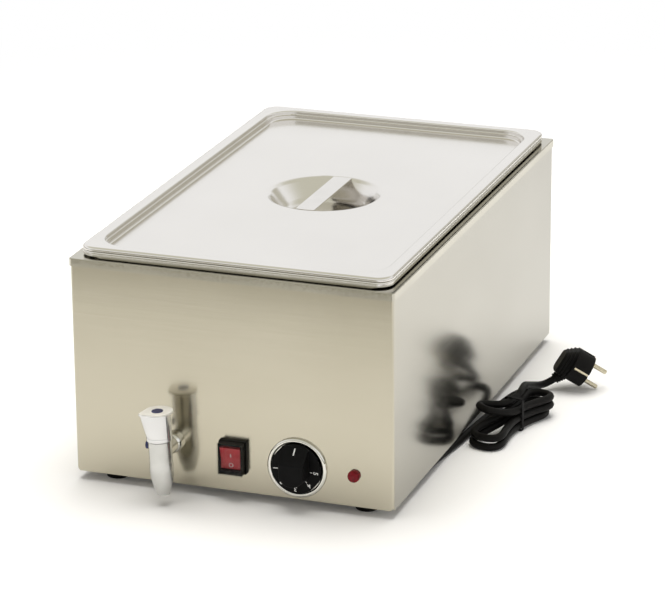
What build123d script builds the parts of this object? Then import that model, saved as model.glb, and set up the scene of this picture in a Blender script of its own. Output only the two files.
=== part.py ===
from build123d import *
import math
import os

os.makedirs("parts", exist_ok=True)

# Overall sizes in millimetres, set by the gastronorm 1/1 pan that the tank holds
pan_width = 325
pan_length = 530
flange_margin = 7.5
casing_height = 225
foot_height = 9.5

# Sheet thicknesses and clearances
sheet = 1.0
thin_sheet = 0.8
fit_gap = 0.2
moving_gap = 0.3
running_gap = 0.05
screw_gap = 0.2

# Casing and bottom plate
casing_bend = 2.5
return_width = 10
return_notch = 13
corner_cut = 3.2
plate_gap = 0.5
plate_raise = 14
plate_inset = 48
plate_corner = 14
plate_draft = 12
plate_screw_radius = 1.5
plate_screw_head = 3.2
plate_screw_head_height = 1.2
plate_screw_length = 7
plate_screw_row = 170
plate_screw_column = 60
vent_count = 7
vent_pitch = 24
vent_length = 90
vent_width = 5
vent_y = 90

# Tank
skirt_height = 8
flange_corner = 3
flange_round = 0.8
bead_margin = 3
bead_corner = 21
bead_height = 6.2
bead_round = 2.2
bead_band = 5
well_floor_drop = 157.5
well_round = 12

# Pan
rim_corner = 16
rim_lip = 5.2
rim_round = 2.4
opening_border = 12
pan_depth = 150
pan_draft = 4
pan_round = 18

# Lid
lid_rise = 3.7
lid_edge_round = 2.9
border_width = 13.4
border_metal = 1.7
border_round = 1.6
step_corner = 30
upper_step = 4.5
ledge_width = 2.8
ledge_round = 1
ledge_overlap = 0.5
lower_step = 4.1
panel_round = 1.8
dish_lip_radius = 62
dish_lip_round = 8
dish_bowl_round = 14
dish_depth = 22
dish_slope = 50
strip_width = 20
strip_thickness = 1.2
strip_end_radius = 59

# Feet and small fasteners
foot_inset_x = 35.2
foot_inset_y = 22.7
foot_radius = 12.5
foot_base_radius = 11.7
foot_round = 1.2
foot_recess_radius = 5
foot_recess_depth = 6
foot_screw_radius = 2.5
foot_head_gap = 0.6
foot_head_height = 2.6
foot_screw_tail = 6
nut_flat = 4
nut_height = 4

# Tap
tap_x = -62.5
tap_z = 54
tap_reach = 34
tap_lean = 3
spout_drop = 42.6
spout_shoulder = 15
spout_end_radius = 6.4
spout_end_height = 1
spout_radius = 12.1
spout_bulge = 1.3
spout_bore = 4.6
tap_radius = 11.6
tap_top = 14.2
tap_chamfer = 0.6
valve_half = 2
chamber_radius = 4.2
chamber_drop = 5.3
tail_radius = 8.3
tail_bore = 4.5
tail_length = 31
neck_step = 0.2
collar_wall = 2.3
collar_length = 10
collar_round = 7
gasket_border = 4.7
gasket_thickness = 2
tap_nut_border = 3.7
tap_nut_height = 6
handle_radius = 13
handle_plate_radius = 14.6
handle_plate_back = 2.2
handle_gap = 0.5
handle_top = 44.5
handle_rim = 2.6
handle_edge_round = 0.8
handle_taper_start = 18
handle_waist = 0.3
flare_sink = 0.5
flare_inset = 1.2
tip_reach = 19
tip_radius = 3.4
tip_angle = 214
stem_radius = 3.5
stem_top = 37
index_radius = 5.8
index_thickness = 1.4
index_round = 0.4
side_cap_radius = 4.25
side_cap_height = 8.6
side_cap_seat = 1.6
side_cap_out = 2.6
side_cap_round = 0.6

# Drain
drain_depth = 49.3
drain_bore = 6.3
outlet_border = 4.7
outlet_flange = 1.5
outlet_past_bend = 1
hose_wall = 2.6
hose_bend = 14
hose_overlap = 13
hose_top_gap = 3
clip_wall = 0.8
clip_width = 5
clip_inset = 2

# Switch
switch_x = 1.5
switch_z = 46.5
rocker_width = 21.6
rocker_half_height = 11.6
rocker_rise = 1.6
rocker_front = 8.5
rocker_dip = 1.4
rocker_shoulder = 3
rocker_back = 4.5
rocker_back_half = 5
rocker_pivot_out = 0.5
rocker_tilt = 8
rocker_side_gap = 0.4
pivot_radius = 1.5
pivot_length = 1.2
pocket_depth = 8
housing_wall = 1.3
housing_depth = 27
bezel_lip_x = 2.1
bezel_lip_z = 1.25
bezel_thickness = 3
bezel_corner = 1.5
frame_out = 11.1
cover_wall = 0.9
cover_round = 1
blade_length = 9
blade_width = 6.3
blade_thickness = 0.8
blade_x = 5
blade_z = 7

# Thermostat and knob
knob_x = 69
control_z = 43.2
ring_rim = 5
ring_gap = 0.7
ring_lap = 5.5
skirt_radius = 25.5
skirt_back = 2.8
skirt_thickness = 3
skirt_round = 0.8
grip_width = 28
grip_radius = 15.2
grip_front = 21
grip_slope_top = 9
grip_slope_margin = 2.5
grip_draft = 4
grip_round = 2
spindle_radius = 3
spindle_out = 15
spindle_in = 9
spindle_bore = 12
thermostat_size = 40
thermostat_depth = 34
thermostat_corner = 2
thermostat_blade = 8
thermostat_blade_x = 8
bush_radius = 4.8
bush_out = 1.2
thermostat_screw_x = 14
thermostat_screw_radius = 2
thermostat_screw_head = 3.4
thermostat_screw_head_height = 1.6
thermostat_screw_length = 6

# Pilot lamp
lamp_x = 128.1
lamp_drop = 1.2
lens_radius = 6.2
lens_height = 6.5
lens_round = 4.5
lamp_radius = 5
lamp_depth = 20
lamp_nut_flat = 7.5
lamp_nut_height = 3
lamp_lead_x = 2.5

# Heating
heater_radius = 4
heater_side_margin = 49.5
heater_inner_x = 35
heater_back_margin = 52
heater_turn_depth = 121.3
heater_end_depth = 86.3
heater_bend = 30
heater_collar_radius = 3.4
heater_collar_length = 4
heater_pin_radius = 2
heater_pin_length = 18
clamp_rows = (-60, 120)
clamp_thickness = 2
clamp_width = 16
clamp_border = 12
stud_radius = 2.5
stud_tail = 1
shield_drop = 20
shield_border = 20
shield_front_lap = 10
shield_back_lap = 30
cutout_y = 30
cutout_radius = 8
cutout_height = 10
bulb_side_margin = 19.5
bulb_radius = 3
bulb_round = 0.8
bulb_front_depth = 121.3
bulb_length = 80
capillary_radius = 1
capillary_depth = 18
bulb_clip_y = 40
bulb_clip_length = 10
bulb_clip_wall = 1
bulb_clip_tab = 7

# Supply
wire_radius = 1.2
block_x = 45
block_depth = 81.3
block_pitch = 12
block_border = 2
block_length = 18
block_height = 14
block_wire_rise = 8
block_hole_radius = 2.5
block_hole_depth = 5
gland_x = 93
gland_depth = 63.3
gland_z = 9.5
gland_stem_radius = 6
gland_knee_radius = 7
gland_arm = 12
gland_flange = 2
gland_flange_border = 3.5
gland_stem_rise = 8
gland_nut_height = 5
gland_heading = -15
gland_droop = -0.12
earth_x = 100
earth_depth = 121.3
earth_head = 4.5
earth_head_height = 2.5
earth_rise = 13

# Mains lead
cord_radius = 4
floor_gap = 0.1
hank_x = 209.8
hank_y = -0.5
hank_heading = 75
hank_entry_turn = 35
right_reach = (58, 58, 58)
left_reach = (68, 66, 40)
left_swing = (2, 2, -28)
left_rise = (0, 0, 10)
waist_half = 5.5
waist_climb = 0.06
layer_step = 8.9
climb_share = 0.85
tie_thickness = 0.9
tie_width = 4
tie_gap = 0.45
tie_band = 0.55
tie_corner = 1.5

# Plug
plug_face = (249.4, 136.4, 20.4)
plug_forward = (0.802, 0.2816, -0.5264)
plug_row = (0.5108, 0.2339, 0.8272)
plug_radius = 18.4
plug_front_depth = 19.5
plug_depth = 32
plug_back_shift = -4.5
plug_neck = (26, 34)
plug_neck_corner = 8
plug_back = (20, 24)
plug_back_corner = 6
plug_ridges = (23, 26.2, 29.4)
plug_ridge_width = 1.5
plug_ridge_size = (26.5, 33)
plug_ridge_corner = 7
plug_ridge_shrink = 2.6
pin_radius = 2.4
pin_length = 19
pin_pitch = 19
pin_root = 12
pin_root_radius = 1.9
pin_round = 1.6
strip_slot_width = 3
strip_slot_inset = 3
strip_slot_floor = 2
strip_gap = 0.3
earth_strip_thickness = 1
groove_width = 5.5
groove_depth = 2.6
groove_length = 14
boot_back = 20
boot_start = 13
boot_length = 13
boot_slant = 25
boot_radius = 7.4
boot_end_radius = 5.6
boot_seat_border = 1.2
boot_seat_depth = 6
boot_seat_rise = 2

# Sizes that follow from the ones above
flange_width = pan_width + 2 * flange_margin
flange_length = pan_length + 2 * flange_margin
casing_width = flange_width - 2 * (sheet + fit_gap)
casing_depth = flange_length - 2 * (sheet + fit_gap)
front_y = -casing_depth / 2
overhang = (flange_length - casing_depth) / 2
casing_y = (tap_reach + handle_radius - overhang) / 2
panel_y = casing_y + front_y
casing_top = foot_height + casing_height
flange_top = casing_top + sheet
plate_low = foot_height + sheet
plate_under = plate_low + plate_raise
plate_top = plate_under + sheet
foot_x = casing_width / 2 - foot_inset_x
foot_y = casing_depth / 2 - foot_inset_y
bead_width = pan_width - 2 * bead_margin
bead_length = pan_length - 2 * bead_margin
bead_top = flange_top + bead_height
well_width = bead_width - 2 * bead_band
well_length = bead_length - 2 * bead_band
well_corner = bead_corner - bead_band - sheet
tank_floor = flange_top - well_floor_drop
tank_under = tank_floor - sheet
rim_low = bead_top
rim_top = rim_low + thin_sheet
opening_width = pan_width - 2 * opening_border
opening_length = pan_length - 2 * opening_border
opening_corner = step_corner + border_width - opening_border
lid_low = rim_top + moving_gap
lid_top = lid_low + lid_rise
ledge_top = lid_top - upper_step
panel_top = ledge_top - lower_step
neck_radius = tail_radius + neck_step
collar_radius = neck_radius + collar_wall
rocker_z = switch_z + rocker_rise
lamp_z = control_z - lamp_drop
heater_z = tank_under - heater_radius
clamp_top = heater_z - heater_radius
clamp_low = clamp_top - clamp_thickness
shield_top = tank_under - shield_drop
block_top = plate_top + block_height


def spot(x, y, z):
    return (x, y + casing_y, z)


def level(height):
    return Plane(origin=spot(0, 0, height))


def upright(x, y, height=0):
    return Plane(origin=spot(x, y, height))


def front(x, z, out=0):
    return Plane(origin=(x, panel_y - out, z), x_dir=(1, 0, 0), z_dir=(0, -1, 0))


def front_profile(x, z):
    return Plane(origin=(x, panel_y, z), x_dir=(1, 0, 0), z_dir=(0, 0, -1))


def front_axis(x, z):
    return Axis((x, panel_y, z), (0, -1, 0))


def save(piece, name):
    piece.part.label = name
    export_step(piece.part, "parts/" + name + ".step")


def slab(width, length, corner, low, high, mode=Mode.ADD):
    with BuildSketch(level(low)) as outline:
        RectangleRounded(width, length, corner)
    extrude(outline.sketch, amount=high - low, mode=mode)


def disc(plane, radius, amount, mode=Mode.ADD):
    with BuildSketch(plane) as outline:
        Circle(radius)
    extrude(outline.sketch, amount=amount, mode=mode)


def hexagon(plane, flat_radius, amount):
    with BuildSketch(plane) as outline:
        RegularPolygon(flat_radius, 6, major_radius=False)
    extrude(outline.sketch, amount=amount)


def block(x, y, low, width, length, height, mode=Mode.ADD):
    with BuildSketch(upright(x, y, low)) as outline:
        Rectangle(width, length)
    extrude(outline.sketch, amount=height, mode=mode)


def bend_radii(points):
    radii = []
    for before, corner, after in zip(points, points[1:], points[2:]):
        arriving = Vector(*corner) - Vector(*before)
        leaving = Vector(*after) - Vector(*corner)
        half_turn = math.radians(arriving.get_angle(leaving)) / 2
        radii.append(0.45 * min(arriving.length, leaving.length) / math.tan(half_turn))
    return radii


def tube(points, radius):
    with BuildLine() as route:
        FilletPolyline(*points, radius=bend_radii(points))
    path = route.wires()[0]
    with BuildSketch(Plane(origin=path @ 0, z_dir=path % 0)) as section:
        Circle(radius)
    sweep(section.sketch, path=path)


# Openings in the front panel for the switch, whose frame, bezel and cover follow its rocker
swing = math.radians(rocker_tilt)
pocket_width = rocker_width + 2 * rocker_side_gap
rocker_sweep = rocker_half_height * math.cos(swing) + rocker_front * math.sin(swing)
pocket_height = 2 * (rocker_sweep + rocker_side_gap)
housing_width = pocket_width + 2 * housing_wall
housing_height = pocket_height + 2 * (housing_wall + rocker_rise)
bezel_width = housing_width + 2 * bezel_lip_x
bezel_height = housing_height + 2 * bezel_lip_z

# Casing: front, sides and back folded from one sheet, with a return at the bottom
plate_screw_x = (casing_width - return_width) / 2
plate_screw_y = (casing_depth - return_width) / 2
plate_screw_places = [
    (side * plate_screw_x, row) for side in (-1, 1) for row in (-plate_screw_row, 0, plate_screw_row)
]
plate_screw_places += [(-plate_screw_column, plate_screw_y), (plate_screw_column, plate_screw_y)]
inner_width = casing_width - 2 * sheet
inner_depth = casing_depth - 2 * sheet
with BuildPart() as casing:
    slab(casing_width, casing_depth, casing_bend, foot_height, casing_top)
    slab(inner_width, inner_depth, casing_bend - sheet, foot_height, casing_top, Mode.SUBTRACT)
    with BuildSketch(level(foot_height)):
        Rectangle(casing_width - sheet, casing_depth - sheet)
        Rectangle(casing_width - 2 * return_width, casing_depth - 2 * return_width, mode=Mode.SUBTRACT)
        with GridLocations(inner_width - return_notch, inner_depth - return_notch, 2, 2):
            Rectangle(return_notch, return_notch, mode=Mode.SUBTRACT)
    extrude(amount=sheet)
    for corner_x in (-casing_width / 2, casing_width / 2):
        for corner_out in (0, corner_cut - casing_depth):
            with BuildSketch(front(corner_x, foot_height, corner_out)):
                Rectangle(corner_cut * math.sqrt(2), corner_cut * math.sqrt(2), rotation=45)
            extrude(amount=-corner_cut, mode=Mode.SUBTRACT)
    with BuildSketch(front(switch_x, switch_z)):
        Rectangle(housing_width + 2 * fit_gap, housing_height + 2 * fit_gap)
    extrude(amount=-2 * sheet, mode=Mode.SUBTRACT)
    disc(front(knob_x, control_z), bush_radius + fit_gap, -2 * sheet, Mode.SUBTRACT)
    for side in (-1, 1):
        screw_hole = front(knob_x + side * thermostat_screw_x, control_z)
        disc(screw_hole, thermostat_screw_radius + screw_gap, -2 * sheet, Mode.SUBTRACT)
    disc(front(lamp_x, lamp_z), lamp_radius + fit_gap, -2 * sheet, Mode.SUBTRACT)
    disc(front(tap_x, tap_z), tail_radius + fit_gap, -2 * sheet, Mode.SUBTRACT)
    for x, y in plate_screw_places:
        disc(upright(x, y, foot_height), plate_screw_radius + screw_gap, sheet, Mode.SUBTRACT)
save(casing, "casing")

# Bottom plate: a flat rim on the casing's return and a raised middle with vent slots
gland_y = front_y + gland_depth
earth_y = front_y + earth_depth
raised_width = casing_width - 2 * plate_inset
raised_length = casing_depth - 2 * plate_inset
with BuildPart() as bottom_plate:
    slab(inner_width - 2 * plate_gap, inner_depth - 2 * plate_gap, casing_bend, plate_low, plate_low + sheet)
    with BuildSketch(level(plate_low)):
        RectangleRounded(raised_width, raised_length, plate_corner)
    extrude(amount=plate_raise + sheet, taper=plate_draft)
    with BuildSketch(level(plate_low)):
        RectangleRounded(raised_width - 2 * sheet, raised_length - 2 * sheet, plate_corner - sheet)
    extrude(amount=plate_raise, taper=plate_draft, mode=Mode.SUBTRACT)
    with BuildSketch(upright(0, vent_y, plate_low)):
        with GridLocations(vent_pitch, 0, vent_count, 1):
            SlotOverall(vent_length, vent_width, rotation=90)
    extrude(amount=plate_raise + 2 * sheet, mode=Mode.SUBTRACT)
    for x in (-foot_x, foot_x):
        for y in (-foot_y, foot_y):
            disc(upright(x, y, plate_low), foot_screw_radius + screw_gap, sheet, Mode.SUBTRACT)
    for x, y in plate_screw_places:
        disc(upright(x, y, plate_low), plate_screw_radius, sheet, Mode.SUBTRACT)
    disc(upright(gland_x, gland_y, plate_low), gland_stem_radius, plate_raise + 2 * sheet, Mode.SUBTRACT)
    disc(upright(earth_x, earth_y, plate_low), stud_radius, plate_raise + 2 * sheet, Mode.SUBTRACT)
save(bottom_plate, "bottom_plate")

# Plate screws: eight small screws through the casing's return into the plate
with BuildPart() as plate_screws:
    for x, y in plate_screw_places:
        disc(upright(x, y, foot_height), plate_screw_head, -plate_screw_head_height)
        disc(upright(x, y, foot_height), plate_screw_radius, plate_screw_length)
save(plate_screws, "plate_screws")

# Rubber feet, slightly conical, recessed for the screw
foot_places = {
    "foot_front_left": (-foot_x, -foot_y),
    "foot_front_right": (foot_x, -foot_y),
    "foot_back_left": (-foot_x, foot_y),
    "foot_back_right": (foot_x, foot_y),
}
for foot_name, (x, y) in foot_places.items():
    with BuildPart() as foot:
        with Locations(spot(x, y, 0)):
            Cone(foot_base_radius, foot_radius, plate_low, align=(Align.CENTER, Align.CENTER, Align.MIN))
        fillet(foot.faces().sort_by(Axis.Z)[0].edges(), foot_round)
        disc(upright(x, y, 0), foot_recess_radius, foot_recess_depth, Mode.SUBTRACT)
        disc(upright(x, y, 0), foot_screw_radius + screw_gap, plate_low, Mode.SUBTRACT)
    save(foot, foot_name)

# Foot screws with their nuts above the plate
foot_screw_top = plate_low + sheet + foot_screw_tail
with BuildPart() as foot_screws:
    for x, y in foot_places.values():
        disc(upright(x, y, foot_recess_depth), foot_recess_radius - foot_head_gap, -foot_head_height)
        disc(upright(x, y, foot_recess_depth), foot_screw_radius, foot_screw_top - foot_recess_depth)
        hexagon(upright(x, y, plate_low + sheet), nut_flat, nut_height)
save(foot_screws, "foot_screws")

# Forms for the tank's well, outside and inside
with BuildPart() as well_outside:
    slab(well_width, well_length, well_corner + sheet, tank_under, bead_top)
    fillet(well_outside.faces().sort_by(Axis.Z)[0].edges(), well_round + sheet)
with BuildPart() as well_inside:
    slab(well_width - 2 * sheet, well_length - 2 * sheet, well_corner, tank_floor, bead_top)
    fillet(well_inside.faces().sort_by(Axis.Z)[0].edges(), well_round)

# Water tank: skirt, flange, hollow raised seat and the well in one sheet
drain_y = front_y + drain_depth
skirt_low = flange_top - skirt_height
with BuildPart() as water_tank:
    slab(flange_width, flange_length, flange_corner, skirt_low, flange_top)
    fillet(water_tank.faces().sort_by(Axis.Z)[-1].edges(), flange_round)
    slab(
        flange_width - 2 * sheet,
        flange_length - 2 * sheet,
        flange_corner - sheet,
        skirt_low,
        casing_top,
        Mode.SUBTRACT,
    )
    slab(bead_width, bead_length, bead_corner, casing_top, bead_top)
    fillet(water_tank.faces().sort_by(Axis.Z)[-1].edges(), bead_round)
    slab(
        bead_width - 2 * sheet,
        bead_length - 2 * sheet,
        bead_corner - sheet,
        casing_top,
        bead_top - sheet,
        Mode.SUBTRACT,
    )
    add(well_outside.part)
    add(well_inside.part, mode=Mode.SUBTRACT)
    disc(upright(tap_x, drain_y, tank_under), drain_bore, 2 * sheet, Mode.SUBTRACT)
save(water_tank, "water_tank")

# Forms for the pan's body, outside and inside
pan_mouth = Plane(origin=spot(0, 0, rim_top), x_dir=(1, 0, 0), z_dir=(0, 0, -1))
with BuildPart() as pan_outside:
    with BuildSketch(pan_mouth):
        RectangleRounded(
            opening_width + 2 * thin_sheet,
            opening_length + 2 * thin_sheet,
            opening_corner + thin_sheet,
        )
    extrude(amount=pan_depth, taper=pan_draft)
    fillet(pan_outside.faces().sort_by(Axis.Z)[0].edges(), pan_round)
with BuildPart() as pan_inside:
    with BuildSketch(pan_mouth):
        RectangleRounded(opening_width, opening_length, opening_corner)
    extrude(amount=pan_depth - thin_sheet, taper=pan_draft)
    fillet(pan_inside.faces().sort_by(Axis.Z)[0].edges(), pan_round - thin_sheet)

# Gastronorm pan: rim with a turned-down lip, tapered body
with BuildPart() as rim_hollow:
    slab(
        pan_width - 2 * thin_sheet,
        pan_length - 2 * thin_sheet,
        rim_corner - thin_sheet,
        rim_top - rim_lip,
        rim_low,
    )
    fillet(rim_hollow.faces().sort_by(Axis.Z)[-1].edges(), rim_round - thin_sheet)
with BuildPart() as gn_pan:
    slab(pan_width, pan_length, rim_corner, rim_top - rim_lip, rim_top)
    fillet(gn_pan.faces().sort_by(Axis.Z)[-1].edges(), rim_round)
    add(rim_hollow.part, mode=Mode.SUBTRACT)
    add(pan_outside.part)
    add(pan_inside.part, mode=Mode.SUBTRACT)
save(gn_pan, "gn_pan")

# Hollow above the lid's recessed panel: an upper step, a narrow ledge and a lower step
recess_width = pan_width - 2 * border_width
recess_length = pan_length - 2 * border_width
panel_width = recess_width - 2 * ledge_width
panel_length = recess_length - 2 * ledge_width
panel_corner = step_corner - ledge_width
with BuildPart() as lid_recess:
    slab(recess_width, recess_length, step_corner, ledge_top, lid_top)
    fillet(lid_recess.faces().sort_by(Axis.Z)[0].edges(), ledge_round)
    slab(panel_width, panel_length, panel_corner, panel_top, ledge_top + ledge_overlap)
    fillet(lid_recess.faces().sort_by(Axis.Z)[0].edges(), panel_round)

# Lid: rounded border, stepped recess and the round finger dish with its sloping wall
dish_low = panel_top - dish_depth
dish_turn = math.radians(dish_slope)
dish_fall = dish_depth - (dish_lip_round + dish_bowl_round) * (1 - math.cos(dish_turn))
dish_run = (dish_lip_round + dish_bowl_round) * math.sin(dish_turn) + dish_fall / math.tan(dish_turn)
dish_bowl_radius = dish_lip_radius - dish_run
under_lip = dish_lip_round - thin_sheet
under_bowl = dish_bowl_round + thin_sheet


def lip_point(radius, share):
    turn = share * dish_turn
    return (dish_lip_radius - radius * math.sin(turn), panel_top - dish_lip_round + radius * math.cos(turn))


def bowl_point(radius, share):
    turn = share * dish_turn
    return (dish_bowl_radius + radius * math.sin(turn), dish_low + dish_bowl_round - radius * math.cos(turn))


with BuildPart() as lid:
    slab(pan_width, pan_length, rim_corner, lid_low, lid_top)
    fillet(lid.faces().sort_by(Axis.Z)[-1].edges(), lid_edge_round)
    slab(
        pan_width - 2 * thin_sheet,
        pan_length - 2 * thin_sheet,
        rim_corner - thin_sheet,
        lid_low,
        lid_top - border_metal,
        Mode.SUBTRACT,
    )
    slab(
        recess_width + 2 * thin_sheet,
        recess_length + 2 * thin_sheet,
        step_corner + thin_sheet,
        ledge_top - thin_sheet,
        lid_top - thin_sheet,
    )
    slab(
        panel_width + 2 * thin_sheet,
        panel_length + 2 * thin_sheet,
        panel_corner + thin_sheet,
        panel_top - thin_sheet,
        ledge_top,
    )
    add(lid_recess.part, mode=Mode.SUBTRACT)
    fillet(lid.faces().sort_by(Axis.Z)[-1].inner_wires()[0].edges(), border_round)
    disc(level(panel_top - thin_sheet), dish_lip_radius, thin_sheet, Mode.SUBTRACT)
    with BuildSketch(Plane(origin=spot(0, 0, 0), x_dir=(1, 0, 0), z_dir=(0, -1, 0))):
        with BuildLine():
            Line((0, dish_low), bowl_point(dish_bowl_round, 0))
            ThreePointArc(*[bowl_point(dish_bowl_round, share) for share in (0, 0.5, 1)])
            Line(bowl_point(dish_bowl_round, 1), lip_point(dish_lip_round, 1))
            ThreePointArc(*[lip_point(dish_lip_round, share) for share in (1, 0.5, 0)])
            Line(lip_point(dish_lip_round, 0), lip_point(under_lip, 0))
            ThreePointArc(*[lip_point(under_lip, share) for share in (0, 0.5, 1)])
            Line(lip_point(under_lip, 1), bowl_point(under_bowl, 1))
            ThreePointArc(*[bowl_point(under_bowl, share) for share in (1, 0.5, 0)])
            Line(bowl_point(under_bowl, 0), (0, dish_low - thin_sheet))
            Line((0, dish_low - thin_sheet), (0, dish_low))
        make_face()
    revolve(axis=Axis(spot(0, 0, 0), (0, 0, 1)))
save(lid, "lid")

# Lid handle: a flat strip across the dish, its ends seated on the dish's rounded lip
with BuildPart() as lid_handle:
    with BuildSketch(level(panel_top - strip_thickness)):
        Circle(strip_end_radius)
        Rectangle(strip_width, 2 * strip_end_radius, mode=Mode.INTERSECT)
    extrude(amount=strip_thickness)
    add(lid.part, mode=Mode.SUBTRACT)
save(lid_handle, "lid_handle")

# Tap: the upright body leans a little about the axis of its neck
lean = math.radians(tap_lean)
tap_plane = Plane(
    origin=(tap_x, panel_y - tap_reach, tap_z),
    x_dir=(math.cos(lean), 0, math.sin(lean)),
    z_dir=(-math.sin(lean), 0, math.cos(lean)),
)
tap_profile = Plane(origin=tap_plane.origin, x_dir=tap_plane.x_dir, z_dir=-tap_plane.y_dir)
tap_axis = Axis(tap_plane.origin, tap_plane.z_dir)
side_cap_plane = Plane(
    origin=tap_plane.from_local_coords((0, 0, side_cap_height)),
    x_dir=tap_plane.y_dir,
    z_dir=-tap_plane.x_dir,
)
side_cap_base = side_cap_plane.offset(tap_radius - side_cap_seat)
with BuildPart() as tap_body:
    with BuildSketch(tap_profile):
        with BuildLine():
            Polyline(
                (0, -spout_drop),
                (spout_end_radius, -spout_drop),
                (spout_end_radius, spout_end_height - spout_drop),
            )
            ThreePointArc(
                (spout_end_radius, spout_end_height - spout_drop),
                ((spout_end_radius + spout_radius) / 2 + spout_bulge, -(spout_drop + spout_shoulder) / 2),
                (spout_radius, -spout_shoulder),
            )
            Polyline(
                (spout_radius, -spout_shoulder),
                (tap_radius, -neck_radius),
                (tap_radius, tap_top - tap_chamfer),
                (tap_radius - tap_chamfer, tap_top),
                (0, tap_top),
                (0, -spout_drop),
            )
        make_face()
    revolve(axis=tap_axis)

# Tap neck: a bored tube from the body through the panel, threaded behind it
with BuildPart() as tap_neck:
    disc(front(tap_x, tap_z, tap_reach), neck_radius, -tap_reach)
    disc(front(tap_x, tap_z), tail_radius, -tail_length)
    add(tap_body.part, mode=Mode.SUBTRACT)
    disc(front(tap_x, tap_z, tap_reach), tail_bore, -tap_reach - tail_length, Mode.SUBTRACT)
save(tap_neck, "tap_neck")

# Waterways and seats cut into the tap's body
with tap_body:
    disc(tap_plane.offset(-spout_drop), spout_bore, spout_drop - chamber_drop, Mode.SUBTRACT)
    disc(tap_plane.offset(-chamber_drop), chamber_radius, chamber_drop + valve_half, Mode.SUBTRACT)
    disc(tap_plane, stem_radius + running_gap, tap_top, Mode.SUBTRACT)
    disc(front(tap_x, tap_z, tap_reach), tail_bore, -tap_reach, Mode.SUBTRACT)
    disc(side_cap_base, side_cap_radius, 2 * side_cap_seat, Mode.SUBTRACT)
save(tap_body, "tap_body")

# Tap collar: round nut on the neck against the front panel
with BuildPart() as tap_collar:
    disc(front(tap_x, tap_z), collar_radius, collar_length)
    fillet(tap_collar.edges().sort_by(Axis.Y)[0], collar_round)
    disc(front(tap_x, tap_z), neck_radius, collar_length, Mode.SUBTRACT)
save(tap_collar, "tap_collar")

# Tap gasket and nut on the threaded tail behind the panel
tap_nut_plane = front(tap_x, tap_z, -sheet - gasket_thickness)
with BuildPart() as tap_gasket:
    disc(front(tap_x, tap_z, -sheet), tail_radius + gasket_border, -gasket_thickness)
    disc(front(tap_x, tap_z, -sheet), tail_radius, -gasket_thickness, Mode.SUBTRACT)
save(tap_gasket, "tap_gasket")
with BuildPart() as tap_nut:
    hexagon(tap_nut_plane, tail_radius + tap_nut_border, -tap_nut_height)
    disc(tap_nut_plane, tail_radius, -tap_nut_height, Mode.SUBTRACT)
save(tap_nut, "tap_nut")

# Tap handle: a round body flaring to one side under a flat top plate with a pointed tip
tip_centre = tip_reach - tip_radius
tip_x = tip_centre * math.cos(math.radians(tip_angle))
tip_y = tip_centre * math.sin(math.radians(tip_angle))
handle_low = tap_top + handle_gap
plate_plane = tap_plane.offset(handle_top - handle_rim)
index_plane = tap_plane.offset(handle_top - index_thickness / 2)
with BuildPart() as tap_handle:
    with BuildSketch(plate_plane) as plate_outline:
        with BuildLine():
            CenterArc((0, handle_plate_back), handle_plate_radius, 0, 360)
            CenterArc((tip_x, tip_y), tip_radius, 0, 360)
        make_hull()
    extrude(plate_outline.sketch, amount=handle_rim)
    fillet(tap_handle.faces().sort_by(tap_axis)[-1].edges(), handle_edge_round)
    fillet(tap_handle.faces().sort_by(tap_axis)[0].edges(), handle_edge_round)
    with BuildSketch(plate_plane.offset(flare_sink)) as flare_outline:
        with BuildLine():
            CenterArc((0, 0), handle_radius - handle_waist, 0, 360)
            CenterArc((tip_x, tip_y), tip_radius - flare_inset, 0, 360)
        make_hull()
    with BuildSketch(tap_plane.offset(handle_taper_start)) as round_outline:
        Circle(handle_radius - handle_waist)
    loft(Sketch() + [flare_outline.sketch, round_outline.sketch])
    with BuildSketch(tap_plane.offset(handle_low)) as lower_outline:
        Circle(handle_radius)
    extrude(lower_outline.sketch, amount=handle_taper_start - handle_low + flare_sink)
    fillet(tap_handle.faces().sort_by(tap_axis)[0].edges(), handle_edge_round)
    disc(tap_plane.offset(handle_low), stem_radius, stem_top - handle_low, Mode.SUBTRACT)
    disc(index_plane, index_radius, index_thickness, Mode.SUBTRACT)
save(tap_handle, "tap_handle")

# Blue caps on the tap
with BuildPart() as tap_index_cap:
    disc(index_plane, index_radius, index_thickness)
    fillet(tap_index_cap.faces().sort_by(tap_axis)[-1].edges(), index_round)
save(tap_index_cap, "tap_index_cap")
with BuildPart() as tap_side_cap:
    disc(side_cap_base, side_cap_radius, side_cap_seat + side_cap_out)
    fillet(tap_side_cap.edges().sort_by(Axis.X)[0], side_cap_round)
save(tap_side_cap, "tap_side_cap")

# Tap stem with its valve disc
with BuildPart() as tap_stem:
    disc(tap_plane.offset(-valve_half), chamber_radius - 2 * fit_gap, 2 * valve_half - moving_gap)
    disc(tap_plane.offset(-valve_half), stem_radius, stem_top + valve_half)
save(tap_stem, "tap_stem")

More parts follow.
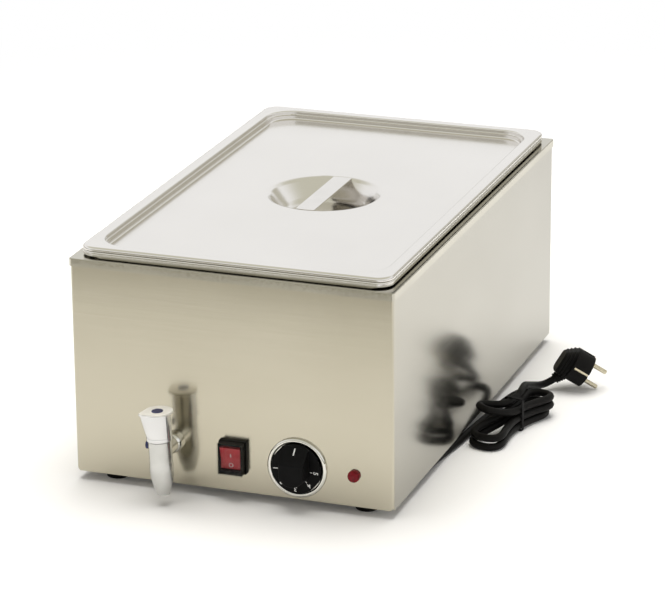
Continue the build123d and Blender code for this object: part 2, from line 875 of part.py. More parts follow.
# Drain: an outlet under the tank, a bent hose to the tap's tail, two clips
hose_inner = tail_radius
hose_outer = hose_inner + hose_wall
outlet_low = tap_z + hose_bend + outlet_past_bend
hose_start_y = front_y + tail_length - hose_overlap
hose_start = front(tap_x, tap_z, hose_overlap - tail_length)
hose_top = tank_under - outlet_flange - hose_top_gap / 2
with BuildPart() as tank_outlet:
    disc(upright(tap_x, drain_y, tank_under), hose_inner + outlet_border, -outlet_flange)
    disc(upright(tap_x, drain_y, tank_under), hose_inner, outlet_low - tank_under)
    disc(upright(tap_x, drain_y, tank_under), drain_bore, outlet_low - tank_under, Mode.SUBTRACT)
save(tank_outlet, "tank_outlet")
with BuildPart() as drain_hose:
    with BuildLine() as hose_line:
        FilletPolyline(
            spot(tap_x, hose_start_y, tap_z),
            spot(tap_x, drain_y, tap_z),
            spot(tap_x, drain_y, hose_top),
            radius=hose_bend,
        )
    with BuildSketch(hose_start) as hose_section:
        Circle(hose_outer)
        Circle(hose_inner, mode=Mode.SUBTRACT)
    sweep(hose_section.sketch, path=hose_line.wires()[0])
save(drain_hose, "drain_hose")
with BuildPart() as hose_clips:
    for clip_plane in (upright(tap_x, drain_y, hose_top - clip_inset / 2), hose_start.offset(-clip_inset)):
        disc(clip_plane, hose_outer + clip_wall, -clip_width)
        disc(clip_plane, hose_outer, -clip_width, Mode.SUBTRACT)
save(hose_clips, "hose_clips")

# Switch housing: the body behind the panel, its bezel and the frame round the rocker
pivot_hole = Plane(
    origin=(switch_x - pocket_width / 2 - pivot_length, panel_y - rocker_pivot_out, rocker_z),
    x_dir=(0, -1, 0),
    z_dir=(1, 0, 0),
)
with BuildPart() as switch_housing:
    with BuildSketch(front(switch_x, switch_z)):
        RectangleRounded(bezel_width, bezel_height, bezel_corner)
    extrude(amount=bezel_thickness)
    with BuildSketch(front(switch_x, switch_z, frame_out)):
        Rectangle(housing_width, housing_height)
    extrude(amount=-frame_out - housing_depth)
    with BuildSketch(front(switch_x, rocker_z, frame_out)):
        Rectangle(pocket_width, pocket_height)
    extrude(amount=-frame_out - pocket_depth, mode=Mode.SUBTRACT)
    disc(pivot_hole, pivot_radius + running_gap, pocket_width + 2 * pivot_length, Mode.SUBTRACT)
save(switch_housing, "switch_housing")

# Rocker, resting with its upper end out
rocker_plane = Plane(
    origin=(switch_x + rocker_width / 2, panel_y - rocker_pivot_out, rocker_z),
    x_dir=(0, -math.cos(swing), -math.sin(swing)),
    z_dir=(-1, 0, 0),
)
pivot_pin = Plane(
    origin=(switch_x - rocker_width / 2 - pivot_length, panel_y - rocker_pivot_out, rocker_z),
    x_dir=(0, -1, 0),
    z_dir=(1, 0, 0),
)
with BuildPart() as switch_rocker:
    with BuildSketch(rocker_plane):
        with BuildLine():
            Polyline(
                (rocker_front, rocker_half_height),
                (rocker_front - rocker_dip, 0),
                (rocker_front, -rocker_half_height),
                (rocker_shoulder, -rocker_half_height),
                (-rocker_back, -rocker_back_half),
                (-rocker_back, rocker_back_half),
                (rocker_shoulder, rocker_half_height),
                close=True,
            )
        make_face()
    extrude(amount=rocker_width)
    disc(pivot_pin, pivot_radius, rocker_width + 2 * pivot_length)
save(switch_rocker, "switch_rocker")

# Clear splash cover over the switch's frame, closed at the front
cover_inner_width = housing_width + 2 * fit_gap
cover_inner_height = housing_height + 2 * fit_gap
cover_inside = frame_out - bezel_thickness + fit_gap
with BuildPart() as switch_cover:
    with BuildSketch(front(switch_x, switch_z, bezel_thickness)):
        Rectangle(cover_inner_width + 2 * cover_wall, cover_inner_height + 2 * cover_wall)
    extrude(amount=cover_inside + cover_wall)
    fillet(switch_cover.edges().filter_by(Axis.Y), cover_round)
    fillet(switch_cover.faces().sort_by(Axis.Y)[0].edges(), cover_wall / 2)
    with BuildSketch(front(switch_x, switch_z, bezel_thickness)):
        Rectangle(cover_inner_width, cover_inner_height)
    extrude(amount=cover_inside, mode=Mode.SUBTRACT)
save(switch_cover, "switch_cover")

# Switch terminals: four blades behind the housing
with BuildPart() as switch_terminals:
    with BuildSketch(front(switch_x, switch_z, -housing_depth)):
        with GridLocations(2 * blade_x, 2 * blade_z, 2, 2):
            Rectangle(blade_thickness, blade_width)
    extrude(amount=-blade_length)
save(switch_terminals, "switch_terminals")

# Thermostat body with its bush through the panel and two blades behind
with BuildPart() as thermostat_body:
    with BuildSketch(front(knob_x, control_z, -sheet)):
        RectangleRounded(thermostat_size, thermostat_size, thermostat_corner)
    extrude(amount=-thermostat_depth)
    disc(front(knob_x, control_z, -sheet), bush_radius, sheet + bush_out)
    disc(front(knob_x, control_z, bush_out), spindle_radius + running_gap, -spindle_bore, Mode.SUBTRACT)
    for side in (-1, 1):
        screw_hole = front(knob_x + side * thermostat_screw_x, control_z, -sheet)
        disc(screw_hole, thermostat_screw_radius, -thermostat_screw_length, Mode.SUBTRACT)
    with BuildSketch(front(knob_x, control_z, -sheet - thermostat_depth)):
        with GridLocations(2 * thermostat_blade_x, 0, 2, 1):
            Rectangle(blade_thickness, blade_width)
    extrude(amount=-thermostat_blade)
save(thermostat_body, "thermostat_body")
with BuildPart() as thermostat_screws:
    for side in (-1, 1):
        screw_plane = front(knob_x + side * thermostat_screw_x, control_z)
        disc(screw_plane, thermostat_screw_head, thermostat_screw_head_height)
        disc(screw_plane, thermostat_screw_radius, -thermostat_screw_length)
save(thermostat_screws, "thermostat_screws")
with BuildPart() as thermostat_spindle:
    disc(front(knob_x, control_z, spindle_out), spindle_radius, -spindle_out - spindle_in)
save(thermostat_spindle, "thermostat_spindle")

# Chrome ring round the knob
ring_radius = skirt_radius + ring_gap + ring_rim
ring_inner = skirt_radius - ring_lap
ring_mid = ring_radius - ring_rim / 2
with BuildPart() as knob_ring:
    with BuildSketch(front_profile(knob_x, control_z)):
        with BuildLine():
            Polyline(
                (ring_inner, 0),
                (ring_radius, 0),
                (ring_radius, sheet),
            )
            ThreePointArc(
                (ring_radius, sheet),
                (ring_mid, sheet + ring_rim / 2),
                (ring_radius - ring_rim, sheet),
            )
            Polyline(
                (ring_radius - ring_rim, sheet),
                (ring_inner, sheet),
                (ring_inner, 0),
            )
        make_face()
    revolve(axis=front_axis(knob_x, control_z))
save(knob_ring, "knob_ring")

# Knob: numbered skirt and a raised grip that slopes down to the pointer
skirt_front = skirt_back + skirt_thickness
grip_height = grip_front - skirt_front
grip_slope_foot = skirt_radius - grip_slope_margin
slope_plane = Plane(origin=(knob_x + grip_width, panel_y, control_z), x_dir=(0, -1, 0), z_dir=(-1, 0, 0))
with BuildPart() as knob:
    disc(front(knob_x, control_z, skirt_back), skirt_radius, skirt_thickness)
    fillet(knob.edges().sort_by(Axis.Y)[0], skirt_round)
    with BuildSketch(front(knob_x, control_z, skirt_front)):
        Circle(grip_radius)
        with Locations((0, grip_slope_foot / 2)):
            Rectangle(grip_width, grip_slope_foot)
        Rectangle(grip_width, 4 * grip_radius, mode=Mode.INTERSECT)
    extrude(amount=grip_height, taper=grip_draft)
    with BuildSketch(slope_plane):
        with BuildLine():
            Polyline(
                (skirt_front, grip_slope_foot),
                (grip_front, grip_slope_top),
                (grip_front + grip_height, grip_slope_top),
                (grip_front + grip_height, 2 * grip_slope_foot),
                (skirt_front, 2 * grip_slope_foot),
                close=True,
            )
        make_face()
    extrude(amount=2 * grip_width, mode=Mode.SUBTRACT)
    fillet(knob.faces().sort_by(Axis.Y)[0].edges(), grip_round)
    disc(front(knob_x, control_z, skirt_back), spindle_radius, spindle_out - skirt_back, Mode.SUBTRACT)
save(knob, "knob")

# Pilot lamp
with BuildPart() as lamp_lens:
    disc(front(lamp_x, lamp_z), lens_radius, lens_height)
    fillet(lamp_lens.edges().sort_by(Axis.Y)[0], lens_round)
save(lamp_lens, "lamp_lens")
with BuildPart() as lamp_body:
    disc(front(lamp_x, lamp_z), lamp_radius, -lamp_depth)
save(lamp_body, "lamp_body")
with BuildPart() as lamp_nut:
    hexagon(front(lamp_x, lamp_z, -sheet), lamp_nut_flat, -lamp_nut_height)
    disc(front(lamp_x, lamp_z, -sheet), lamp_radius, -lamp_nut_height, Mode.SUBTRACT)
save(lamp_nut, "lamp_nut")

# Heating element: a serpentine tube against the tank's underside
heater_outer_x = well_width / 2 - heater_side_margin
heater_back_y = well_length / 2 - heater_back_margin
heater_turn_y = front_y + heater_turn_depth
heater_end_y = front_y + heater_end_depth
heater_points = [
    spot(heater_outer_x, heater_end_y, heater_z),
    spot(heater_outer_x, heater_back_y, heater_z),
    spot(heater_inner_x, heater_back_y, heater_z),
    spot(heater_inner_x, heater_turn_y, heater_z),
    spot(-heater_inner_x, heater_turn_y, heater_z),
    spot(-heater_inner_x, heater_back_y, heater_z),
    spot(-heater_outer_x, heater_back_y, heater_z),
    spot(-heater_outer_x, heater_end_y, heater_z),
]
with BuildPart() as heater_element:
    with BuildLine() as heater_line:
        FilletPolyline(*heater_points, radius=heater_bend)
    with BuildSketch(Plane(origin=heater_points[0], z_dir=(0, 1, 0))) as heater_section:
        Circle(heater_radius)
    sweep(heater_section.sketch, path=heater_line.wires()[0])
save(heater_element, "heater_element")
with BuildPart() as heater_terminals:
    for side in (-1, 1):
        pin_plane = Plane(origin=spot(side * heater_outer_x, heater_end_y, heater_z), z_dir=(0, -1, 0))
        disc(pin_plane, heater_collar_radius, heater_collar_length)
        disc(pin_plane, heater_pin_radius, heater_pin_length)
save(heater_terminals, "heater_terminals")

# Clamp bars, welded studs and nuts that hold the element up, and the shield below
stud_side = (heater_outer_x + heater_inner_x) / 2
stud_places = [(column, row) for row in clamp_rows for column in (-stud_side, 0, stud_side)]
with BuildPart() as heater_clamps:
    for row in clamp_rows:
        block(0, row, clamp_low, 2 * (heater_outer_x + clamp_border), clamp_width, clamp_thickness)
    for column, row in stud_places:
        disc(upright(column, row, clamp_top), stud_radius, -clamp_thickness, Mode.SUBTRACT)
save(heater_clamps, "heater_clamps")
with BuildPart() as heater_studs:
    for column, row in stud_places:
        disc(upright(column, row, tank_under), stud_radius, -shield_drop - sheet - nut_height - stud_tail)
save(heater_studs, "heater_studs")
with BuildPart() as heater_nuts:
    for column, row in stud_places:
        for nut_top in (clamp_low, shield_top - sheet):
            hexagon(upright(column, row, nut_top), nut_flat, -nut_height)
            disc(upright(column, row, nut_top), stud_radius, -nut_height, Mode.SUBTRACT)
save(heater_nuts, "heater_nuts")
shield_front_y = heater_turn_y + shield_front_lap
shield_back_y = heater_back_y + shield_back_lap
shield_length = shield_back_y - shield_front_y
shield_y = (shield_front_y + shield_back_y) / 2
with BuildPart() as heat_shield:
    block(0, shield_y, shield_top - sheet, 2 * (heater_outer_x + shield_border), shield_length, sheet)
    for column, row in stud_places:
        disc(upright(column, row, shield_top), stud_radius, -sheet, Mode.SUBTRACT)
save(heat_shield, "heat_shield")

# Thermal cut-out under the tank's floor
with BuildPart() as thermal_cutout:
    disc(upright(0, cutout_y, tank_under), cutout_radius, -cutout_height)
save(thermal_cutout, "thermal_cutout")

# Thermostat bulb with its capillary tube, and the clip that holds it under the tank
bulb_x = well_width / 2 - bulb_side_margin
bulb_y = front_y + bulb_front_depth
bulb_z = tank_under - bulb_radius
capillary_y = front_y + capillary_depth
thermostat_top = control_z + thermostat_size / 2
with BuildPart() as capillary_bulb:
    disc(Plane(origin=spot(bulb_x, bulb_y, bulb_z), z_dir=(0, 1, 0)), bulb_radius, bulb_length)
    fillet(capillary_bulb.edges(), bulb_round)
    tube(
        [
            spot(bulb_x, bulb_y + 2 * bulb_round, bulb_z),
            spot(bulb_x, bulb_y - 30, bulb_z - 1),
            spot(bulb_x - 17, bulb_y - 65, bulb_z - 5),
            spot(knob_x + 19, capillary_y + 13, thermostat_top + 9),
            spot(knob_x, capillary_y, thermostat_top + 7),
            spot(knob_x, capillary_y, thermostat_top),
        ],
        capillary_radius,
    )
save(capillary_bulb, "capillary_bulb")
clip_y = bulb_y + bulb_clip_y
clip_low = bulb_z - bulb_radius
clip_tall = 2 * bulb_radius
with BuildPart() as bulb_clip:
    block(
        bulb_x,
        clip_y,
        tank_under - bulb_clip_wall,
        2 * (bulb_radius + bulb_clip_tab),
        bulb_clip_length,
        bulb_clip_wall,
    )
    block(
        bulb_x,
        clip_y,
        clip_low - bulb_clip_wall,
        2 * (bulb_radius + bulb_clip_wall),
        bulb_clip_length,
        clip_tall + bulb_clip_wall,
    )
    block(bulb_x, clip_y, clip_low, 2 * bulb_radius, bulb_clip_length, clip_tall, Mode.SUBTRACT)
save(bulb_clip, "bulb_clip")

# Terminal block and earth stud on the bottom plate
block_y = front_y + block_depth
with BuildPart() as terminal_block:
    block(block_x, block_y, plate_top, 3 * block_pitch + 2 * block_border, block_length, block_height)
    for pole in (-1, 0, 1):
        pole_plane = upright(block_x + pole * block_pitch, block_y, block_top)
        disc(pole_plane, block_hole_radius, -block_hole_depth, Mode.SUBTRACT)
save(terminal_block, "terminal_block")
with BuildPart() as earth_stud:
    disc(upright(earth_x, earth_y, plate_under), earth_head, -earth_head_height)
    disc(upright(earth_x, earth_y, plate_under), stud_radius, sheet + earth_rise)
    hexagon(upright(earth_x, earth_y, plate_top), nut_flat, nut_height)
save(earth_stud, "earth_stud")

# Cord gland: an elbow under the plate, its stem through the plate and a nut above
gland_top = plate_top + gland_stem_rise
gland_turn = math.radians(gland_heading)
gland_out = Vector(math.cos(gland_turn), math.sin(gland_turn), gland_droop).normalized()
gland_centre = Vector(*spot(gland_x, gland_y, gland_z))
gland_flange_radius = gland_stem_radius + gland_flange_border
with BuildPart() as cord_gland:
    disc(upright(gland_x, gland_y, plate_under), gland_flange_radius, -gland_flange)
    disc(upright(gland_x, gland_y, gland_z), gland_knee_radius, plate_under - gland_z)
    disc(upright(gland_x, gland_y, plate_under), gland_stem_radius, gland_top - plate_under)
    with Locations(spot(gland_x, gland_y, gland_z)):
        Sphere(gland_knee_radius)
    disc(Plane(origin=gland_centre, z_dir=gland_out), gland_stem_radius, gland_arm)
save(cord_gland, "cord_gland")
with BuildPart() as gland_nut:
    hexagon(upright(gland_x, gland_y, plate_top), gland_flange_radius, gland_nut_height)
    disc(upright(gland_x, gland_y, plate_top), gland_stem_radius, gland_nut_height, Mode.SUBTRACT)
save(gland_nut, "gland_nut")

# Wiring inside the casing, its middle points chosen by hand between the terminals
block_wire_z = plate_top + block_wire_rise
block_back = block_y + block_length / 2
block_front = block_y - block_length / 2
blade_tip = front_y + housing_depth + blade_length
thermostat_tip = front_y + sheet + thermostat_depth + thermostat_blade
lamp_back = front_y + lamp_depth
heater_pin_low = heater_z - heater_pin_radius
cutout_z = tank_under - 6
under_clamps = clamp_low - nut_height - 2
live_pole = block_x - block_pitch
thermostat_side = knob_x + thermostat_size / 2
with BuildPart() as wires_live:
    tube(
        [
            spot(gland_x - 2, gland_y, gland_top),
            spot(gland_x - 2, gland_y, gland_top + 14),
            spot(gland_x - 24, gland_y + 36, gland_top + 20),
            spot(live_pole + 16, block_back + 26, block_wire_z + 12),
            spot(live_pole, block_back + 18, block_wire_z),
            spot(live_pole, block_back, block_wire_z),
        ],
        wire_radius,
    )
    tube(
        [
            spot(live_pole, block_front, block_wire_z),
            spot(live_pole, block_front - 9, block_wire_z),
            spot(14, blade_tip + 14, switch_z),
            spot(switch_x - blade_x, blade_tip + 10, switch_z + blade_z),
            spot(switch_x - blade_x, blade_tip, switch_z + blade_z),
        ],
        wire_radius,
    )
    tube(
        [
            spot(switch_x + blade_x, blade_tip, switch_z + blade_z),
            spot(switch_x + blade_x, blade_tip + 10, switch_z + blade_z),
            spot(30, blade_tip + 21.3, switch_z + 12),
            spot(knob_x - thermostat_blade_x - 1, thermostat_tip + 20, control_z + 6),
            spot(knob_x - thermostat_blade_x, thermostat_tip + 12, control_z),
            spot(knob_x - thermostat_blade_x, thermostat_tip, control_z),
        ],
        wire_radius,
    )
    tube(
        [
            spot(knob_x + thermostat_blade_x, thermostat_tip, control_z),
            spot(knob_x + thermostat_blade_x, thermostat_tip + 12, control_z),
            spot(66, thermostat_tip + 48, under_clamps - 3),
            spot(54, heater_turn_y + 10, under_clamps),
            spot(51, cutout_y - 70, under_clamps - 0.4),
            spot(40, cutout_y - 8, under_clamps),
            spot(cutout_radius + 14, cutout_y, cutout_z),
            spot(cutout_radius, cutout_y, cutout_z),
        ],
        wire_radius,
    )
    tube(
        [
            spot(-cutout_radius, cutout_y, cutout_z),
            spot(-cutout_radius - 14, cutout_y, cutout_z),
            spot(-42, cutout_y - 10, under_clamps),
            spot(-52, cutout_y - 80, under_clamps - 0.4),
            spot(-58, heater_turn_y + 10, under_clamps),
            spot(13 - heater_outer_x, heater_end_y + 7, under_clamps - 3),
            spot(-heater_outer_x, heater_end_y - 12, heater_pin_low - 12),
            spot(-heater_outer_x, heater_end_y - 12, heater_pin_low),
        ],
        wire_radius,
    )
    tube(
        [
            spot(lamp_x - lamp_lead_x, lamp_back, lamp_z),
            spot(lamp_x - lamp_lead_x, lamp_back + 12, lamp_z),
            spot(thermostat_side + 16, lamp_back + 8, control_z + 8),
            spot(thermostat_side, lamp_back + 8, control_z + 8),
        ],
        wire_radius,
    )
save(wires_live, "wires_live")
with BuildPart() as wires_neutral:
    tube(
        [
            spot(gland_x + 2, gland_y + 2, gland_top),
            spot(gland_x + 2, gland_y + 2, gland_top + 20),
            spot(gland_x - 14, gland_y + 40, gland_top + 24),
            spot(block_x + 16, block_back + 30, block_wire_z + 16),
            spot(block_x, block_back + 20, block_wire_z),
            spot(block_x, block_back, block_wire_z),
        ],
        wire_radius,
    )
    tube(
        [
            spot(block_x, block_front, block_wire_z),
            spot(block_x, block_front - 8, block_wire_z),
            spot(22, blade_tip + 16, switch_z - blade_z - 2),
            spot(switch_x + blade_x, blade_tip + 11, switch_z - blade_z),
            spot(switch_x + blade_x, blade_tip, switch_z - blade_z),
        ],
        wire_radius,
    )
    tube(
        [
            spot(switch_x - blade_x, blade_tip, switch_z - blade_z),
            spot(switch_x - blade_x, blade_tip + 10, switch_z - blade_z),
            spot(-12, blade_tip + 35, switch_z + 2),
            spot(10, heater_turn_y - 18, under_clamps - 5),
            spot(72, heater_turn_y - 10, under_clamps - 4),
            spot(heater_outer_x - 4, heater_end_y - 6, heater_pin_low - 13),
            spot(heater_outer_x, heater_end_y - 9, heater_pin_low - 8),
            spot(heater_outer_x, heater_end_y - 9, heater_pin_low),
        ],
        wire_radius,
    )
    tube(
        [
            spot(lamp_x + lamp_lead_x, lamp_back, lamp_z),
            spot(lamp_x + lamp_lead_x, lamp_back + 14, lamp_z),
            spot(lamp_x - 4, lamp_back + 40, lamp_z + 10),
            spot(heater_outer_x + 14, heater_end_y - 18, heater_pin_low - 14),
            spot(heater_outer_x, heater_end_y - 15, heater_pin_low - 9),
            spot(heater_outer_x, heater_end_y - 15, heater_pin_low),
        ],
        wire_radius,
    )
save(wires_neutral, "wires_neutral")
with BuildPart() as wire_earth:
    tube(
        [
            spot(gland_x + 4, gland_y - 2, gland_top),
            spot(gland_x + 4, gland_y - 2, gland_top + 10),
            spot(gland_x + 12, gland_y + 26, gland_top + 12),
            spot(earth_x, earth_y - 18, plate_top + 8),
            spot(earth_x, earth_y - stud_radius, plate_top + 8),
        ],
        wire_radius,
    )
save(wire_earth, "wire_earth")

# Mains lead: the hank's centre line, one loop per whole turn, right fold at whole numbers
lead_z = cord_radius + floor_gap
hank_along = Vector(math.cos(math.radians(hank_heading)), math.sin(math.radians(hank_heading)), 0)
hank_across = Vector(hank_along.Y, -hank_along.X, 0)
hank_centre = Vector(*spot(hank_x, hank_y, 0))
entry_turn = math.radians(hank_entry_turn)


def hank_node(quarter):
    loop = quarter // 4
    corner = quarter % 4
    lift = lead_z + loop * layer_step
    swung = math.radians(left_swing[loop])
    left_along = hank_along * math.cos(swung) - hank_across * math.sin(swung)
    left_across = hank_across * math.cos(swung) + hank_along * math.sin(swung)
    if corner == 0:
        place = hank_along * right_reach[loop]
        way = hank_across
        if loop == 0:
            way = hank_across * math.cos(entry_turn) - hank_along * math.sin(entry_turn)
    elif corner == 1:
        place = hank_across * waist_half
        way = -hank_along
        lift += tie_thickness
    elif corner == 2:
        place = left_along * -left_reach[loop]
        way = -left_across
        lift += left_rise[loop]
    else:
        place = hank_across * -waist_half
        way = (hank_along + Vector(0, 0, waist_climb)).normalized()
        lift += climb_share * layer_step + tie_thickness
    return hank_centre + place + Vector(0, 0, lift), way


def biarc(start, start_way, end, end_way):
    span = end - start
    both = start_way + end_way
    bend = 2 * (1 - start_way.dot(end_way))
    slope = span.dot(both)
    reach = (math.sqrt(slope * slope + bend * span.dot(span)) - slope) / bend
    first_corner = start + start_way * reach
    second_corner = end - end_way * reach
    joint = (first_corner + second_corner) * 0.5
    TangentArc(start, joint, tangent=start_way)
    TangentArc(joint, end, tangent=(second_corner - first_corner).normalized())


hank_nodes = [hank_node(quarter) for quarter in range(4 * len(right_reach))]
hank_first, hank_first_way = hank_nodes[0]
hank_last, hank_last_way = hank_nodes[-1]
hank_entry = hank_first - hank_first_way * 2 * cord_radius
hank_exit = hank_last + hank_last_way * 2 * cord_radius
with BuildPart() as cord_hank:
    with BuildLine() as hank_line:
        Line(hank_entry, hank_first)
        for near, far in zip(hank_nodes, hank_nodes[1:]):
            biarc(*near, *far)
        Line(hank_last, hank_exit)
    hank_path = hank_line.wires()[0]
    with BuildSketch(Plane(origin=hank_entry, z_dir=hank_first_way)) as hank_section:
        Circle(cord_radius)
    sweep(hank_section.sketch, path=hank_path)
save(cord_hank, "cord_hank")

# Least gap between the hank's turns, measured on points along its centre line
hank_samples = 500
near_stretch = 26
hank_places = [hank_path.position_at(index / hank_samples) for index in range(hank_samples + 1)]
skip = math.ceil(hank_samples * near_stretch / hank_path.length)
least = min(
    (hank_places[a] - hank_places[b]).length
    for a in range(hank_samples + 1)
    for b in range(a + skip, hank_samples + 1)
)
tube_area = math.pi * cord_radius * cord_radius
print("hank length", round(hank_path.length), "least gap", round(least - 2 * cord_radius, 2))
print("hank volume ratio", round(cord_hank.part.volume / (hank_path.length * tube_area), 4))
print("hank tightest bend", round(min(edge.radius for edge in hank_path.edges().filter_by(GeomType.CIRCLE)), 1))

# Tie round the hank's waist
tie_half = waist_half + cord_radius + tie_gap
tie_low = floor_gap + tie_thickness - tie_gap
tie_high = hank_last.Z + cord_radius + tie_gap
tie_tall = tie_high - tie_low
tie_origin = Vector(hank_centre.X, hank_centre.Y, (tie_low + tie_high) / 2) - hank_along * (tie_width / 2)
with BuildPart() as hank_tie:
    with BuildSketch(Plane(origin=tie_origin, x_dir=hank_across, z_dir=hank_along)) as tie_section:
        RectangleRounded(2 * (tie_half + tie_band), tie_tall + 2 * tie_band, tie_corner + tie_band)
        RectangleRounded(2 * tie_half, tie_tall, tie_corner, mode=Mode.SUBTRACT)
    extrude(tie_section.sketch, amount=tie_width)
save(hank_tie, "hank_tie")

# Plug: round two-pin front, a ridged grip behind it and a side entry for the lead
plug_plane = Plane(
    origin=spot(*plug_face),
    x_dir=Vector(*plug_row).cross(Vector(*plug_forward)).normalized(),
    z_dir=Vector(*plug_forward).normalized(),
)
slant = math.radians(boot_slant)
boot_root = plug_plane.from_local_coords((0, -boot_start, -boot_back))
boot_way = (-plug_plane.z_dir * math.sin(slant) - plug_plane.y_dir * math.cos(slant)).normalized()
boot_end = boot_root + boot_way * boot_length
boot_plane = Plane(origin=boot_root, z_dir=boot_way)
strip_plane = plug_plane.offset(strip_slot_floor - plug_front_depth)
with BuildPart() as plug_body:
    disc(plug_plane, plug_radius, -plug_front_depth)
    with BuildSketch(plug_plane.offset(-plug_front_depth)) as grip_start:
        RectangleRounded(*plug_neck, plug_neck_corner)
    with BuildSketch(plug_plane.offset(-plug_depth)) as grip_end:
        with Locations((0, plug_back_shift)):
            RectangleRounded(*plug_back, plug_back_corner)
    loft(Sketch() + [grip_start.sketch, grip_end.sketch])
    for order, ridge in enumerate(plug_ridges):
        ridge_width = plug_ridge_size[0] - order * plug_ridge_shrink / 2
        ridge_height = plug_ridge_size[1] - order * plug_ridge_shrink
        ridge_shift = plug_back_shift * (ridge - plug_front_depth) / (plug_depth - plug_front_depth)
        with BuildSketch(plug_plane.offset(-ridge)) as ridge_section:
            with Locations((0, ridge_shift)):
                RectangleRounded(ridge_width, ridge_height, plug_ridge_corner)
        extrude(ridge_section.sketch, amount=plug_ridge_width)
    disc(boot_plane.offset(-boot_seat_depth), boot_radius + boot_seat_border, boot_seat_depth + boot_seat_rise)
    for side in (-1, 1):
        with BuildSketch(plug_plane.offset(-pin_root)) as pin_hole:
            with Locations((0, side * pin_pitch / 2)):
                Circle(pin_root_radius)
        extrude(pin_hole.sketch, amount=pin_root, mode=Mode.SUBTRACT)
        with BuildSketch(strip_plane) as strip_slot:
            with Locations((side * plug_radius, 0)):
                Rectangle(2 * strip_slot_inset, strip_slot_width)
        extrude(strip_slot.sketch, amount=plug_front_depth, mode=Mode.SUBTRACT)
        with BuildSketch(plug_plane) as guide_groove:
            with Locations((0, side * plug_radius)):
                Rectangle(groove_width, 2 * groove_depth)
        extrude(guide_groove.sketch, amount=-groove_length, mode=Mode.SUBTRACT)
save(plug_body, "plug_body")
strip_x = plug_radius - strip_slot_inset + earth_strip_thickness / 2
strip_length = plug_front_depth - strip_slot_floor - 2 * strip_gap
with BuildPart() as plug_earth_strips:
    for side in (-1, 1):
        with BuildSketch(strip_plane) as strip_section:
            with Locations((side * strip_x, 0)):
                Rectangle(earth_strip_thickness, strip_slot_width - 2 * strip_gap)
        extrude(strip_section.sketch, amount=strip_length)
save(plug_earth_strips, "plug_earth_strips")
with BuildPart() as plug_pins:
    for side in (-1, 1):
        with BuildSketch(plug_plane.offset(-pin_root)) as root_section:
            with Locations((0, side * pin_pitch / 2)):
                Circle(pin_root_radius)
        extrude(root_section.sketch, amount=pin_root)
        with BuildSketch(plug_plane) as pin_section:
            with Locations((0, side * pin_pitch / 2)):
                Circle(pin_radius)
        extrude(pin_section.sketch, amount=pin_length)
    fillet(plug_pins.faces().sort_by(Axis(plug_plane.origin, plug_plane.z_dir))[-2:].edges(), pin_round)
save(plug_pins, "plug_pins")

# Boot: tapered strain relief between the plug and the lead
with BuildPart() as plug_boot:
    with BuildSketch(boot_plane.offset(boot_seat_rise)) as boot_base:
        Circle(boot_radius)
    with BuildSketch(boot_plane.offset(boot_length)) as boot_tip:
        Circle(boot_end_radius)
    loft(Sketch() + [boot_base.sketch, boot_tip.sketch])
    add(plug_body.part, mode=Mode.SUBTRACT)
save(plug_boot, "plug_boot")

# Lead from the gland, under the casing's edge and along its side into the hank
end_run = 9
loop_run = 8
gland_exit = gland_centre + gland_out * gland_arm
lead_middle = [
    (118, -216, lead_z + 2.7),
    (132, -218.5, lead_z + 0.4),
    (145, -214.5, lead_z),
    (154.5, -204, lead_z),
    (159, -190, lead_z),
    (160.2, -172, lead_z),
    (159.6, -148, lead_z),
    (161, -120, lead_z),
    (165, -91, lead_z),
    (168, -62, lead_z),
    (170.6, -36, lead_z),
    (173.3, -5.5, lead_z),
    (176.1, 24.5, lead_z),
    (178.7, 54.5, lead_z),
    (182.3, 78.5, lead_z),
    (187.3, 94.5, lead_z),
    (196.8, 99.5, lead_z),
    (205.3, 93.5, lead_z),
    (210, 81.5, lead_z),
]
lead_points = [gland_exit, gland_exit + gland_out * end_run]
lead_points += [Vector(*spot(*place)) for place in lead_middle]
lead_points += [hank_entry - hank_first_way * loop_run, hank_entry]
with BuildPart() as cord_lead:
    tube(lead_points, cord_radius)
save(cord_lead, "cord_lead")

# Tail from the hank to the plug's boot
tail_middle = [
    (209.5, 21.1, 33),
    (207.9, 36, 32.8),
    (205.2, 52, 30),
    (203, 73.9, 21.4),
    (202.2, 96.5, 13.2),
    (204.6, 110.5, 8.4),
]
tail_points = [hank_exit, hank_exit + hank_last_way * loop_run]
tail_points += [Vector(*spot(*place)) for place in tail_middle]
tail_points += [boot_end + boot_way * end_run, boot_end]
with BuildPart() as cord_tail:
    tube(tail_points, cord_radius)
save(cord_tail, "cord_tail")
print("lead bends", [round(radius) for radius in bend_radii(lead_points)])
print("tail bends", [round(radius) for radius in bend_radii(tail_points)])
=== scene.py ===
import math

import bmesh
import bpy
from mathutils import Matrix, Vector


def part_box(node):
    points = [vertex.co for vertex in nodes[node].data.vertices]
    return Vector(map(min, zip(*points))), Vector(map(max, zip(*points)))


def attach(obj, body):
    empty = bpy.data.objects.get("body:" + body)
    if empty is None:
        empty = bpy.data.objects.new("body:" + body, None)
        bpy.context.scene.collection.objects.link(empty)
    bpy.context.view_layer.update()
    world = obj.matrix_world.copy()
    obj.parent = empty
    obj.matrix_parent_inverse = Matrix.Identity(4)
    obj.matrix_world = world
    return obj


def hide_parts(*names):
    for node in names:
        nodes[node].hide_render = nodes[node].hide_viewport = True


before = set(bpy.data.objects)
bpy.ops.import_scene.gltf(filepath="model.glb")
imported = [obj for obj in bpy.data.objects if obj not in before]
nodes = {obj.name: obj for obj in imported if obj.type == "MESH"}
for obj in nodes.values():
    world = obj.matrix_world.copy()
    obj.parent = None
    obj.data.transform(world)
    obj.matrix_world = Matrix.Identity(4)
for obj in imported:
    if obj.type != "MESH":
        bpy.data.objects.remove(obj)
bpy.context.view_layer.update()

mm = 0.001

